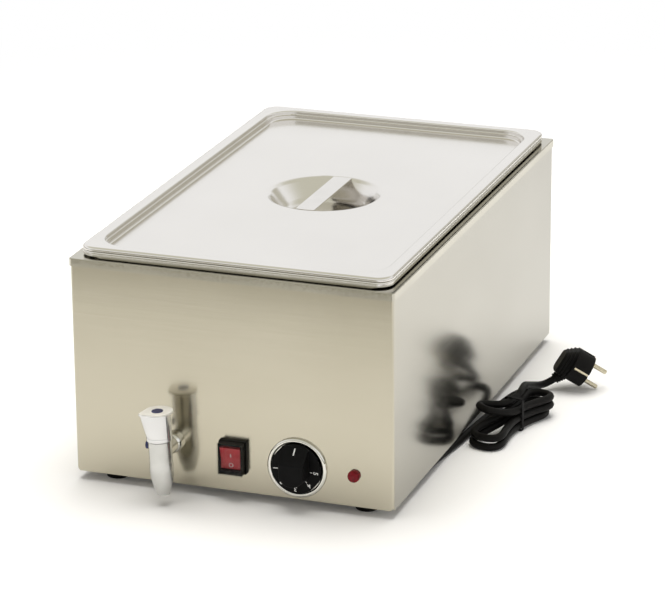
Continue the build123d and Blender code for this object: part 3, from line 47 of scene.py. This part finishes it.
# The photograph's camera, found from the straight edges of the casing and lid
photo_width = 665
photo_height = 600
focal_pixels = 3334.0
centre_pixel = (329.4, 302.6)
eye = (1142.5, -3093.4, 1287.0)
camera_turn = (70.576, 0.498, 19.880)
sensor = 36.0

# Surround: white to the camera, dim where it only lights, and with four dim patches for mirrored rays
white = (1, 1, 1, 1)
ambient_colour = (1, 0.985, 0.96, 1)
ambient_strength = 0.22
ceiling_colour = (0.66, 0.645, 0.545, 1)
ceiling_edges = (0.5, 0.8)
band_colour = (0.3, 0.285, 0.225, 1)
band_edges = (0.16, 0.02)
room_colour = (0.4, 0.385, 0.31, 1)
room_way = (-0.25, -0.96, -0.1)
room_edges = (0.84, 0.95)
side_colour = (0.56, 0.54, 0.46, 1)
side_way = (0.36, 0.87, 0.33)
side_edges = (0.965, 0.99)

# Floor, in metres, with the share of plain white that the camera sees in it, near and far
floor_reach = 8
floor_edge = -0.85
floor_colour = (0.97, 0.96, 0.935, 1)
floor_rough = 0.7
floor_fade = (0.6, 1.6)
floor_lift = (0.04, 1.0)

# Casing's middle, front panel and the controls on it, in millimetres
casing_low, casing_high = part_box("casing")
casing_y = (casing_low.y + casing_high.y) / 2 / mm
panel_y = casing_low.y / mm
knob_x = 69
control_z = 43.2
switch_x = 1.5
switch_z = 46.5

# Mains lead, as laid in the model, in millimetres from the casing's middle, with swings in degrees
cord_radius = 4
gland_x = 93
gland_y = -208
gland_z = 9.5
gland_arm = 12
gland_heading = math.radians(-15)
gland_droop = -0.12
lead_z = cord_radius + 0.1
lead_middle = [
    (118, -216, lead_z + 2.7),
    (132, -218.5, lead_z + 0.4),
    (145, -214.5, lead_z),
    (154.5, -204, lead_z),
    (159, -190, lead_z),
    (160.2, -172, lead_z),
    (159.6, -148, lead_z),
    (161, -120, lead_z),
    (165, -91, lead_z),
    (168, -62, lead_z),
    (170.6, -36, lead_z),
    (173.3, -5.5, lead_z),
    (176.1, 24.5, lead_z),
    (178.7, 54.5, lead_z),
    (182.3, 78.5, lead_z),
    (187.3, 94.5, lead_z),
    (196.8, 99.5, lead_z),
    (205.3, 93.5, lead_z),
    (210, 81.5, lead_z),
]
tail_middle = [
    (209.5, 21.1, 33),
    (207.9, 36, 32.8),
    (205.2, 52, 30),
    (203, 73.9, 21.4),
    (202.2, 96.5, 13.2),
    (204.6, 110.5, 8.4),
]
hank_place = (209.8, -0.5)
hank_heading = math.radians(75)
hank_entry_turn = math.radians(35)
right_reach = (58, 58, 58)
left_reach = (68, 66, 40)
left_swing = (2, 2, -28)
left_rise = (0, 0, 10)
waist_half = 5.5
waist_climb = 0.06
layer_step = 8.9
climb_share = 0.85
corner_share = 0.86
tie_thickness = 0.9
end_run = 9
loop_run = 8
cord_smoothness = 8
cord_roundness = 5

# Plug and its strain relief, placed and sized as in the model, with the grooves that are added here
plug_face = (249.4, 136.4, 20.4)
plug_forward = Vector((0.802, 0.2816, -0.5264)).normalized()
plug_row = Vector((0.5108, 0.2339, 0.8272))
boot_back = 20
boot_start = 13
boot_length = 13
boot_slant = math.radians(25)
boot_radius = 7.4
boot_end_radius = 5.6
boot_seat_rise = 2
boot_rings = 40
boot_segments = 40
boot_grooves = 4
groove_depth = 0.75
groove_power = 0.6

# Printed marks: a letter's height as a share of its font's size, and how far print stands out
letter_share = 0.7
print_rise = 0.03
bar_end_steps = 6

# Knob, in millimetres and degrees: numbers round its skirt, a line inside each, a pointer on its grip
skirt_front = 5.8
number_count = 5
first_number_angle = -177
number_step = 43
number_height = 4.8
number_weight = 0.12
number_radius = 20.8
line_inner = 15.6
line_outer = 17.2
line_width = 0.8
grip_front = 21
grip_slope_top = 9
grip_slope_foot = 23
pointer_start = 12.5
pointer_end = 19.3
pointer_width = 1.3

# Rocker: two facets that meet in a shallow dip, tipped to off
rocker_tilt = math.radians(8)
rocker_rise = 1.6
rocker_pivot_out = 0.5
rocker_front = 8.5
rocker_dip = 1.4
rocker_half_height = 11.6
on_mark_start = 1.2
on_mark_end = 4.4
on_mark_width = 0.9
off_mark_place = 7.8
off_mark_height = 4.4
off_mark_weight = 0

right_way = Vector((1, 0, 0))
up_way = Vector((0, 0, 1))
out_way = Vector((0, -1, 0))


def spot(x, y, z):
    return Vector((x, y + casing_y, z))


def add_object(name, data):
    item = bpy.data.objects.new(name, data)
    bpy.context.scene.collection.objects.link(item)
    return item


# Node helpers: each adds a node to a tree and returns its result
def maths(tree, operation, *sources):
    node = tree.nodes.new("ShaderNodeMath")
    node.operation = operation
    for socket, source in zip(node.inputs, sources):
        tree.links.new(source, socket)
    return node.outputs[0]


def stretch(tree, source, edges, levels, blending="LINEAR"):
    node = tree.nodes.new("ShaderNodeMapRange")
    node.interpolation_type = blending
    node.inputs["From Min"].default_value = edges[0]
    node.inputs["From Max"].default_value = edges[1]
    node.inputs["To Min"].default_value = levels[0]
    node.inputs["To Max"].default_value = levels[1]
    tree.links.new(source, node.inputs["Value"])
    return node.outputs[0]


def smooth_step(tree, source, edges, levels=(0, 1)):
    return stretch(tree, source, edges, levels, "SMOOTHSTEP")


def height_of(tree, place):
    node = tree.nodes.new("ShaderNodeSeparateXYZ")
    tree.links.new(place, node.inputs[0])
    return node.outputs["Z"]


def nearness(tree, way, centre):
    node = tree.nodes.new("ShaderNodeVectorMath")
    node.operation = "DOT_PRODUCT"
    node.inputs[1].default_value = centre
    tree.links.new(way, node.inputs[0])
    return node.outputs["Value"]


def distance(tree, place):
    node = tree.nodes.new("ShaderNodeVectorMath")
    node.operation = "LENGTH"
    tree.links.new(place, node.inputs[0])
    return node.outputs["Value"]


def glow(tree, kind, colour, strength=1.0):
    node = tree.nodes.new(kind)
    node.inputs["Color"].default_value = colour
    node.inputs["Strength"].default_value = strength
    return node.outputs[0]


def blend(tree, share, first, second):
    node = tree.nodes.new("ShaderNodeMixShader")
    for socket, source in zip(node.inputs, (share, first, second)):
        tree.links.new(source, socket)
    return node.outputs[0]


# Camera
def make_camera():
    data = bpy.data.cameras.new("photo_camera")
    data.sensor_fit = "HORIZONTAL"
    data.sensor_width = sensor
    data.lens = focal_pixels * sensor / photo_width
    data.shift_x = (photo_width / 2 - centre_pixel[0]) / photo_width
    data.shift_y = (centre_pixel[1] - photo_height / 2) / photo_width
    camera = add_object("photo_camera", data)
    camera.location = Vector(eye) * mm
    camera.rotation_euler = [math.radians(angle) for angle in camera_turn]
    bpy.context.scene.camera = camera


# Rays that show the background: the camera's own, and those mirrored or let through
def background_rays(tree):
    rays = tree.nodes.new("ShaderNodeLightPath")
    seen = maths(tree, "MAXIMUM", rays.outputs["Is Camera Ray"], rays.outputs["Is Glossy Ray"])
    return maths(tree, "MAXIMUM", seen, rays.outputs["Is Transmission Ray"])


def make_world():
    world = bpy.data.worlds.new("studio")
    bpy.context.scene.world = world
    world.use_nodes = True
    tree = world.node_tree
    tree.nodes.clear()
    output = tree.nodes.new("ShaderNodeOutputWorld")
    rays = tree.nodes.new("ShaderNodeLightPath")
    place = tree.nodes.new("ShaderNodeTexCoord")
    way = place.outputs["Generated"]
    height = height_of(tree, way)
    patches = [
        (height, ceiling_edges, ceiling_colour),
        (maths(tree, "ABSOLUTE", height), band_edges, band_colour),
        (nearness(tree, way, room_way), room_edges, room_colour),
        (nearness(tree, way, side_way), side_edges, side_colour),
    ]
    seen = glow(tree, "ShaderNodeBackground", white)
    for measure, edges, colour in patches:
        share = maths(tree, "MULTIPLY", smooth_step(tree, measure, edges), rays.outputs["Is Glossy Ray"])
        seen = blend(tree, share, seen, glow(tree, "ShaderNodeBackground", colour))
    ambient = glow(tree, "ShaderNodeBackground", ambient_colour, ambient_strength)
    tree.links.new(blend(tree, background_rays(tree), ambient, seen), output.inputs[0])


def make_lamp(name, place, target, size, power, colour):
    data = bpy.data.lights.new(name, "AREA")
    data.shape = "RECTANGLE"
    data.size = size[0]
    data.size_y = size[1]
    data.energy = power
    data.color = colour
    lamp = add_object(name, data)
    lamp.visible_glossy = False
    lamp.location = place
    aim = Vector(target) - Vector(place)
    lamp.rotation_euler = aim.to_track_quat("-Z", "Y").to_euler()


# Floor: near the object it takes the shadow, and far away the camera sees plain white
def make_floor():
    mesh = bpy.data.meshes.new("floor")
    corners = [
        (-floor_reach, floor_edge, 0),
        (floor_reach, floor_edge, 0),
        (floor_reach, floor_reach, 0),
        (-floor_reach, floor_reach, 0),
    ]
    mesh.from_pydata(corners, [], [(0, 1, 2, 3)])
    floor = add_object("floor", mesh)
    material = bpy.data.materials.new("floor_white")
    material.use_nodes = True
    tree = material.node_tree
    shader = tree.nodes["Principled BSDF"]
    shader.inputs["Base Color"].default_value = floor_colour
    shader.inputs["Roughness"].default_value = floor_rough
    shader.inputs["Specular IOR Level"].default_value = 0
    lifted = glow(tree, "ShaderNodeEmission", white)
    place = tree.nodes.new("ShaderNodeTexCoord")
    rays = tree.nodes.new("ShaderNodeLightPath")
    fade = smooth_step(tree, distance(tree, place.outputs["Object"]), floor_fade, floor_lift)
    share = maths(tree, "MULTIPLY", rays.outputs["Is Camera Ray"], fade)
    surface = blend(tree, share, shader.outputs[0], lifted)
    tree.links.new(surface, tree.nodes["Material Output"].inputs["Surface"])
    mesh.materials.append(material)


# Stage: the camera, the surround, three lamps in metres and watts, and the floor
make_camera()
make_world()
make_lamp(
    "overhead",
    place=(-0.12, 0.38, 2.6),
    target=(0, 0.3, 0),
    size=(2.4, 2.4),
    power=92,
    colour=(1, 0.99, 0.97),
)
make_lamp(
    "front_left",
    place=(-1.8, -2.2, 1.9),
    target=(0, 0, 0.1),
    size=(1.6, 1.6),
    power=13,
    colour=(1, 0.96, 0.9),
)
make_lamp(
    "right_fill",
    place=(2.2, 0.2, 0.8),
    target=(0.2, 0.1, 0.1),
    size=(1.4, 1.0),
    power=9,
    colour=(0.97, 0.98, 1),
)
make_floor()
bpy.context.scene.view_settings.view_transform = "Standard"

# Mains lead: one smooth curve along the route, the hank's loops and the tail
hank_along = Vector((math.cos(hank_heading), math.sin(hank_heading), 0))
hank_across = Vector((hank_along.y, -hank_along.x, 0))
hank_centre = spot(hank_place[0], hank_place[1], 0)
plug_x = plug_row.cross(plug_forward).normalized()
plug_y = plug_forward.cross(plug_x)
boot_root = spot(*plug_face) - plug_y * boot_start - plug_forward * boot_back
boot_way = (-plug_forward * math.sin(boot_slant) - plug_y * math.cos(boot_slant)).normalized()


# Four places in each loop, with the lead's way there: right fold, waist, left fold, waist
def hank_node(quarter):
    loop = quarter // 4
    corner = quarter % 4
    lift = lead_z + loop * layer_step
    swung = math.radians(left_swing[loop])
    left_along = hank_along * math.cos(swung) - hank_across * math.sin(swung)
    left_across = hank_across * math.cos(swung) + hank_along * math.sin(swung)
    if corner == 0:
        place = hank_along * right_reach[loop]
        way = hank_across
        if loop == 0:
            way = hank_across * math.cos(hank_entry_turn) - hank_along * math.sin(hank_entry_turn)
    elif corner == 1:
        place = hank_across * waist_half
        way = -hank_along
        lift += tie_thickness
    elif corner == 2:
        place = left_along * -left_reach[loop]
        way = -left_across
        lift += left_rise[loop]
    else:
        place = hank_across * -waist_half
        way = (hank_along + Vector((0, 0, waist_climb))).normalized()
        lift += climb_share * layer_step + tie_thickness
    return hank_centre + place + Vector((0, 0, lift)), way


# Two control points between neighbouring places: one ahead of the first and one behind the second
def hank_corners(start, start_way, end, end_way):
    span = end - start
    bend = 2 * (1 - start_way.dot(end_way))
    slope = span.dot(start_way + end_way)
    reach = (math.sqrt(slope * slope + bend * span.dot(span)) - slope) / bend
    pulled = reach * corner_share
    return [start + start_way * pulled, end - end_way * pulled]


def cord_points():
    gland_out = Vector((math.cos(gland_heading), math.sin(gland_heading), gland_droop)).normalized()
    gland_exit = spot(gland_x, gland_y, gland_z) + gland_out * gland_arm
    knots = [hank_node(quarter) for quarter in range(4 * len(right_reach))]
    first, first_way = knots[0]
    last, last_way = knots[-1]
    entry = first - first_way * 2 * cord_radius
    leave = last + last_way * 2 * cord_radius
    boot_end = boot_root + boot_way * boot_length
    points = [gland_exit, gland_exit + gland_out * end_run]
    points += [spot(*place) for place in lead_middle]
    points += [entry - first_way * loop_run, entry]
    for near, far in zip(knots, knots[1:]):
        points += hank_corners(*near, *far)
    points += [leave, leave + last_way * loop_run]
    points += [spot(*place) for place in tail_middle]
    points += [boot_end + boot_way * end_run, boot_end]
    return points


def make_cord():
    points = [place * mm for place in cord_points()]
    curve = bpy.data.curves.new("mains_lead", "CURVE")
    curve.dimensions = "3D"
    spline = curve.splines.new("NURBS")
    spline.points.add(len(points) - 1)
    for control, place in zip(spline.points, points):
        control.co = (*place, 1)
        control.radius = cord_radius * mm
    spline.order_u = 3
    spline.use_endpoint_u = True
    spline.resolution_u = cord_smoothness
    curve.bevel_depth = 1
    curve.bevel_resolution = cord_roundness
    curve.use_fill_caps = True
    cord = add_object("mains_lead", curve)
    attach(cord, "base")
    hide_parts("cord_lead", "cord_hank", "cord_tail")
    return cord, points[0]


cord, cord_exit = make_cord()

# Procedural finishes: a fine grain drives roughness and relief, a broad cloud drives colour
noise_edges = (0.3, 0.7)
cloud_detail = 3
grain_detail = 4


def even(frequency):
    return (frequency, frequency, frequency)


def texture(tree, frequency, detail):
    place = tree.nodes.new("ShaderNodeTexCoord")
    mapping = tree.nodes.new("ShaderNodeMapping")
    mapping.inputs["Scale"].default_value = frequency
    tree.links.new(place.outputs["Object"], mapping.inputs["Vector"])
    noise = tree.nodes.new("ShaderNodeTexNoise")
    noise.inputs["Scale"].default_value = 1.0
    noise.inputs["Detail"].default_value = detail
    tree.links.new(mapping.outputs[0], noise.inputs["Vector"])
    return noise.outputs[0]


def finish(name, dark, light, rough, grain, cloud, relief, depth=0.1, metal=0):
    material = bpy.data.materials.new(name)
    material.use_nodes = True
    tree = material.node_tree
    shader = tree.nodes["Principled BSDF"]
    shader.inputs["Metallic"].default_value = metal
    ramp = tree.nodes.new("ShaderNodeValToRGB")
    for stop, position, colour in zip(ramp.color_ramp.elements, noise_edges, (dark, light)):
        stop.position = position
        stop.color = (*colour, 1)
    tree.links.new(texture(tree, cloud, cloud_detail), ramp.inputs[0])
    tree.links.new(ramp.outputs[0], shader.inputs["Base Color"])
    grains = texture(tree, grain, grain_detail)
    tree.links.new(stretch(tree, grains, noise_edges, rough), shader.inputs["Roughness"])
    bump = tree.nodes.new("ShaderNodeBump")
    bump.inputs["Strength"].default_value = relief
    bump.inputs["Distance"].default_value = depth * mm
    tree.links.new(grains, bump.inputs["Height"])
    tree.links.new(bump.outputs[0], shader.inputs["Normal"])
    return material


def tune(material, **values):
    shader = material.node_tree.nodes["Principled BSDF"]
    for name, value in values.items():
        shader.inputs[name.replace("_", " ")].default_value = value


# Painted highlight: a pale non-metal colour over the upper end of a metal finish, standing in for the
# overhead light's highlight on the tap handle's top, and a Mix node's colour sockets by number
highlight_depth = 2
highlight_blur = 0.3
highlight_colour = (0.9, 0.87, 0.8, 1)
colour_before = 6
colour_after = 7
colour_result = 2


def paint_highlight_above(material, height):
    tree = material.node_tree
    shader = tree.nodes["Principled BSDF"]
    place = tree.nodes.new("ShaderNodeTexCoord")
    blurred = (height - highlight_blur * mm, height + highlight_blur * mm)
    upper = smooth_step(tree, height_of(tree, place.outputs["Object"]), blurred)
    ramp = shader.inputs["Base Color"].links[0].from_socket
    colours = tree.nodes.new("ShaderNodeMix")
    colours.data_type = "RGBA"
    tree.links.new(upper, colours.inputs[0])
    tree.links.new(ramp, colours.inputs[colour_before])
    colours.inputs[colour_after].default_value = highlight_colour
    tree.links.new(colours.outputs[colour_result], shader.inputs["Base Color"])
    metal = shader.inputs["Metallic"].default_value
    tree.links.new(stretch(tree, upper, (0, 1), (metal, 0)), shader.inputs["Metallic"])


# Sheet steel: frequencies per metre, for most sheets low along the grain and high across it
across_height = (9, 9, 1500)
along_length = (1500, 9, 60)
satin_casing = finish(
    "satin_casing", dark=(0.485, 0.453, 0.362), light=(0.515, 0.483, 0.392), rough=(0.14, 0.18),
    grain=across_height, cloud=(6, 6, 9), relief=0.006, depth=0.02, metal=1,
)
tune(satin_casing, Anisotropic=0.6, Anisotropic_Rotation=0.25, Specular_Tint=(0.85, 0.88, 0.96, 1))
satin_lid = finish(
    "satin_lid", dark=(0.775, 0.755, 0.725), light=(0.81, 0.79, 0.76), rough=(0.15, 0.21),
    grain=along_length, cloud=even(7), relief=0.01, depth=0.02, metal=1,
)
satin_pan = finish(
    "satin_pan", dark=(0.7, 0.68, 0.64), light=(0.75, 0.73, 0.69), rough=(0.16, 0.26),
    grain=along_length, cloud=even(9), relief=0.02, depth=0.03, metal=1,
)
# The tank's polished steel is set darker than the lid's and pan's: painted shade standing in for the shade
# and dark reflections along its skirt under the lid
polished_shaded_tank = finish(
    "tank_steel_painted_shade", dark=(0.48, 0.46, 0.395), light=(0.54, 0.52, 0.45), rough=(0.09, 0.15),
    grain=even(300), cloud=even(14), relief=0.02, depth=0.03, metal=1,
)
strip_steel = finish(
    "lid_strip_steel", dark=(0.72, 0.7, 0.67), light=(0.78, 0.76, 0.73), rough=(0.12, 0.2),
    grain=(60, 1500, 60), cloud=even(30), relief=0.02, depth=0.03, metal=1,
)
plate_steel = finish(
    "plain_sheet", dark=(0.5, 0.495, 0.47), light=(0.6, 0.595, 0.57), rough=(0.32, 0.46),
    grain=(1200, 12, 12), cloud=even(10), relief=0.08, metal=1,
)

# Plated, drawn and machined metal
zinc = finish(
    "zinc_plating", dark=(0.58, 0.59, 0.58), light=(0.72, 0.71, 0.66), rough=(0.25, 0.42),
    grain=even(900), cloud=even(220), relief=0.1, metal=1,
)
chrome = finish(
    "chrome_trim", dark=(0.66, 0.65, 0.6), light=(0.74, 0.73, 0.68), rough=(0.03, 0.06),
    grain=even(700), cloud=even(60), relief=0.02, depth=0.03, metal=1,
)
tap_satin = finish(
    "tap_satin_chrome", dark=(0.56, 0.56, 0.54), light=(0.64, 0.64, 0.62), rough=(0.13, 0.2),
    grain=even(700), cloud=even(60), relief=0.03, depth=0.03, metal=0.8,
)
tap_grip = finish(
    "tap_grip_chrome", dark=(0.66, 0.66, 0.665), light=(0.74, 0.74, 0.74), rough=(0.14, 0.22),
    grain=even(700), cloud=even(60), relief=0.03, depth=0.03, metal=0.8,
)
# The handle's top 2 mm is painted pale, as a highlight from the light overhead
handle_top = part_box("tap_handle")[1].z
paint_highlight_above(tap_grip, handle_top - highlight_depth * mm)
nickel = finish(
    "nickel_brass", dark=(0.5, 0.45, 0.33), light=(0.62, 0.57, 0.43), rough=(0.16, 0.28),
    grain=even(900), cloud=even(220), relief=0.04, metal=1,
)
sheath = finish(
    "oxidised_sheath", dark=(0.2, 0.19, 0.18), light=(0.38, 0.36, 0.34), rough=(0.35, 0.55),
    grain=even(700), cloud=even(35), relief=0.15, metal=1,
)
brass = finish(
    "machined_brass", dark=(0.68, 0.52, 0.22), light=(0.8, 0.64, 0.32), rough=(0.2, 0.34),
    grain=(1400, 1400, 40), cloud=even(80), relief=0.08, metal=1,
)
copper = finish(
    "drawn_copper", dark=(0.62, 0.34, 0.22), light=(0.78, 0.47, 0.33), rough=(0.22, 0.38),
    grain=(1200, 30, 1200), cloud=even(70), relief=0.08, metal=1,
)

# Plastics, rubber, ceramic and print
tap_blue = finish(
    "cap_blue", dark=(0.012, 0.016, 0.075), light=(0.02, 0.026, 0.11), rough=(0.16, 0.28),
    grain=even(1300), cloud=even(200), relief=0.04,
)
black_gloss = finish(
    "black_moulded", dark=(0.003, 0.003, 0.003), light=(0.005, 0.005, 0.0055), rough=(0.42, 0.56),
    grain=even(1500), cloud=even(120), relief=0.06,
)
tune(black_gloss, Specular_IOR_Level=0.09)
black_matt = finish(
    "black_rubber_look", dark=(0.0035, 0.0033, 0.003), light=(0.0065, 0.006, 0.0055), rough=(0.48, 0.62),
    grain=even(1300), cloud=even(90), relief=0.15,
)
tune(black_matt, Specular_IOR_Level=0.12)
white_ceramic = finish(
    "white_ceramic", dark=(0.72, 0.71, 0.67), light=(0.82, 0.81, 0.78), rough=(0.4, 0.55),
    grain=even(1200), cloud=even(140), relief=0.1,
)
rocker_red = finish(
    "rocker_red", dark=(0.6, 0.03, 0.042), light=(0.7, 0.045, 0.058), rough=(0.2, 0.32),
    grain=even(900), cloud=even(160), relief=0.05,
)
tune(rocker_red, Subsurface_Weight=0.15, Subsurface_Scale=0.004)
lens_red = finish(
    "lens_red", dark=(0.15, 0.001, 0.006), light=(0.24, 0.002, 0.01), rough=(0.08, 0.16),
    grain=even(500), cloud=even(260), relief=0.04,
)
tune(lens_red, Specular_IOR_Level=0.22)
cover_clear = finish(
    "clear_cover", dark=(0.02, 0.019, 0.018), light=(0.035, 0.033, 0.03), rough=(0.06, 0.14),
    grain=even(260), cloud=even(120), relief=0.02,
)
tune(cover_clear, Alpha=0.12)
hose_clear = finish(
    "silicone_hose", dark=(0.7, 0.66, 0.56), light=(0.8, 0.77, 0.68), rough=(0.24, 0.4),
    grain=even(500), cloud=even(60), relief=0.08,
)
tune(hose_clear, Transmission_Weight=0.4)
brown_wire = finish(
    "brown_insulation", dark=(0.11, 0.04, 0.02), light=(0.16, 0.065, 0.035), rough=(0.3, 0.45),
    grain=even(1200), cloud=even(90), relief=0.05,
)
blue_wire = finish(
    "blue_insulation", dark=(0.02, 0.06, 0.3), light=(0.035, 0.1, 0.42), rough=(0.3, 0.45),
    grain=even(1200), cloud=even(90), relief=0.05,
)
earth_wire = finish(
    "green_yellow_insulation", dark=(0.03, 0.26, 0.03), light=(0.62, 0.52, 0.03), rough=(0.3, 0.45),
    grain=even(1200), cloud=even(60), relief=0.05,
)
print_white = finish(
    "white_print", dark=(0.88, 0.88, 0.86), light=(0.95, 0.95, 0.93), rough=(0.4, 0.55),
    grain=even(2000), cloud=even(300), relief=0.05,
)

looks = {
    satin_casing: ["casing"],
    satin_lid: ["lid"],
    satin_pan: ["gn_pan"],
    # The tank takes the darker steel, with its painted shade
    polished_shaded_tank: ["water_tank"],
    strip_steel: ["lid_handle"],
    plate_steel: ["bottom_plate", "heat_shield", "heater_clamps", "tank_outlet", "bulb_clip", "hose_clips"],
    zinc: [
        "foot_screws", "plate_screws", "thermostat_screws", "heater_studs", "heater_nuts", "earth_stud",
        "lamp_nut", "thermostat_spindle",
    ],
    chrome: ["knob_ring", "tap_collar", "tap_neck", "tap_nut"],
    tap_satin: ["tap_body"],
    tap_grip: ["tap_handle"],
    nickel: ["plug_pins", "plug_earth_strips"],
    sheath: ["heater_element", "heater_terminals"],
    brass: ["tap_stem", "switch_terminals"],
    copper: ["capillary_bulb"],
    tap_blue: ["tap_index_cap", "tap_side_cap"],
    black_gloss: ["knob", "switch_housing", "gland_nut", "cord_gland", "thermostat_body", "hank_tie"],
    white_ceramic: ["terminal_block", "thermal_cutout", "lamp_body"],
    rocker_red: ["switch_rocker"],
    lens_red: ["lamp_lens"],
    cover_clear: ["switch_cover"],
    black_matt: [
        "foot_front_left", "foot_front_right", "foot_back_left", "foot_back_right", "tap_gasket",
        "plug_body", "plug_boot", "cord_lead", "cord_hank", "cord_tail",
    ],
    hose_clear: ["drain_hose"],
    brown_wire: ["wires_live"],
    blue_wire: ["wires_neutral"],
    earth_wire: ["wire_earth"],
}
for material, names in looks.items():
    for name in names:
        slots = nodes[name].data.materials
        slots.clear()
        slots.append(material)
cord.data.materials.append(black_matt)


# Printed letters, as thin solids
def make_mark(name, body, height, weight, place, right, up, ride):
    data = bpy.data.curves.new(name, "FONT")
    data.body = body
    data.size = height * mm / letter_share
    data.align_x = "CENTER"
    data.align_y = "CENTER"
    data.extrude = print_rise * mm
    data.offset = weight * mm
    letter = bpy.data.objects.new(name + "_outline", data)
    mesh = bpy.data.meshes.new_from_object(letter)
    bpy.data.objects.remove(letter)
    turn = Matrix((right, up, right.cross(up))).transposed().to_4x4()
    mesh.transform(Matrix.Translation(place * mm) @ turn)
    mesh.name = name
    mesh.materials.clear()
    mesh.materials.append(print_white)
    mark = add_object(name, mesh)
    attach(mark, ride)


# Printed lines, with round ends
def make_bar(name, start, end, width, out, ride):
    along = (end - start).normalized()
    side = along.cross(out).normalized()
    outline = []
    for centre, way in ((end, 1), (start, -1)):
        for step in range(bar_end_steps + 1):
            angle = math.pi * step / bar_end_steps
            turned = side * math.cos(angle) + along * math.sin(angle)
            outline.append(centre + turned * way * width / 2)
    shape = bmesh.new()
    face = shape.faces.new([shape.verts.new(place * mm) for place in outline])
    raised = bmesh.ops.extrude_face_region(shape, geom=[face])
    moved = [item for item in raised["geom"] if isinstance(item, bmesh.types.BMVert)]
    bmesh.ops.translate(shape, vec=out * print_rise * mm, verts=moved)
    bmesh.ops.recalc_face_normals(shape, faces=shape.faces)
    mesh = bpy.data.meshes.new(name)
    shape.to_mesh(mesh)
    shape.free()
    mesh.materials.append(print_white)
    bar = add_object(name, mesh)
    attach(bar, ride)


# Numbers and lines on the knob's skirt
knob_centre = Vector((knob_x, panel_y, control_z))
skirt_spot = knob_centre + out_way * skirt_front
for order in range(number_count):
    number = str(order + 1)
    turned = math.radians(first_number_angle + order * number_step)
    ray = right_way * math.cos(turned) + up_way * math.sin(turned)
    make_mark(
        "dial_number_" + number,
        body=number,
        height=number_height,
        weight=number_weight,
        place=skirt_spot + ray * number_radius,
        right=ray.cross(out_way),
        up=ray,
        ride="dial",
    )
    make_bar(
        "dial_line_" + number,
        start=skirt_spot + ray * line_inner,
        end=skirt_spot + ray * line_outer,
        width=line_width,
        out=out_way,
        ride="dial",
    )

# The pointer lies on the grip's sloping top
slope_way = Vector((0, grip_front - skirt_front, grip_slope_foot - grip_slope_top)).normalized()
slope_start = knob_centre + out_way * grip_front + up_way * grip_slope_top
make_bar(
    "dial_pointer",
    start=slope_start + slope_way * pointer_start,
    end=slope_start + slope_way * pointer_end,
    width=pointer_width,
    out=right_way.cross(slope_way),
    ride="dial",
)

# The rocker's marks lie on its two facets
rocker_out = Vector((0, -math.cos(rocker_tilt), -math.sin(rocker_tilt)))
rocker_up = Vector((0, -math.sin(rocker_tilt), math.cos(rocker_tilt)))
rocker_pivot = Vector((switch_x, panel_y - rocker_pivot_out, switch_z + rocker_rise))
rocker_middle = rocker_pivot + rocker_out * (rocker_front - rocker_dip)
upper_way = (rocker_up * rocker_half_height + rocker_out * rocker_dip).normalized()
lower_way = (rocker_up * rocker_half_height - rocker_out * rocker_dip).normalized()
make_bar(
    "rocker_mark_on",
    start=rocker_middle + upper_way * on_mark_start,
    end=rocker_middle + upper_way * on_mark_end,
    width=on_mark_width,
    out=right_way.cross(upper_way),
    ride="rocker",
)
make_mark(
    "rocker_mark_off",
    body="O",
    height=off_mark_height,
    weight=off_mark_weight,
    place=rocker_middle - lower_way * off_mark_place,
    right=right_way,
    up=lower_way,
    ride="rocker",
)


# Strain relief: a tapered boot with grooves round it
def make_boot():
    side = boot_way.orthogonal().normalized()
    other = boot_way.cross(side)
    shape = bmesh.new()
    loops = []
    for ring in range(boot_rings + 1):
        share = ring / boot_rings
        radius = boot_radius + (boot_end_radius - boot_radius) * share
        dip = max(0.0, math.sin(2 * math.pi * boot_grooves * share)) ** groove_power
        radius -= groove_depth * dip
        centre = boot_root + boot_way * (boot_seat_rise + (boot_length - boot_seat_rise) * share)
        loop = []
        for segment in range(boot_segments):
            angle = 2 * math.pi * segment / boot_segments
            place = centre + (side * math.cos(angle) + other * math.sin(angle)) * radius
            loop.append(shape.verts.new(place * mm))
        loops.append(loop)
    for near, far in zip(loops, loops[1:]):
        for segment in range(boot_segments):
            after = (segment + 1) % boot_segments
            shape.faces.new((near[segment], near[after], far[after], far[segment]))
    shape.faces.new(list(reversed(loops[0])))
    shape.faces.new(loops[-1])
    bmesh.ops.recalc_face_normals(shape, faces=shape.faces)
    mesh = bpy.data.meshes.new("plug_boot_ribbed")
    shape.to_mesh(mesh)
    shape.free()
    for polygon in mesh.polygons:
        polygon.use_smooth = len(polygon.vertices) == 4
    mesh.materials.append(black_matt)
    boot = add_object("plug_boot_ribbed", mesh)
    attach(boot, "base")
    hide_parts("plug_boot")
    return boot


boot = make_boot()
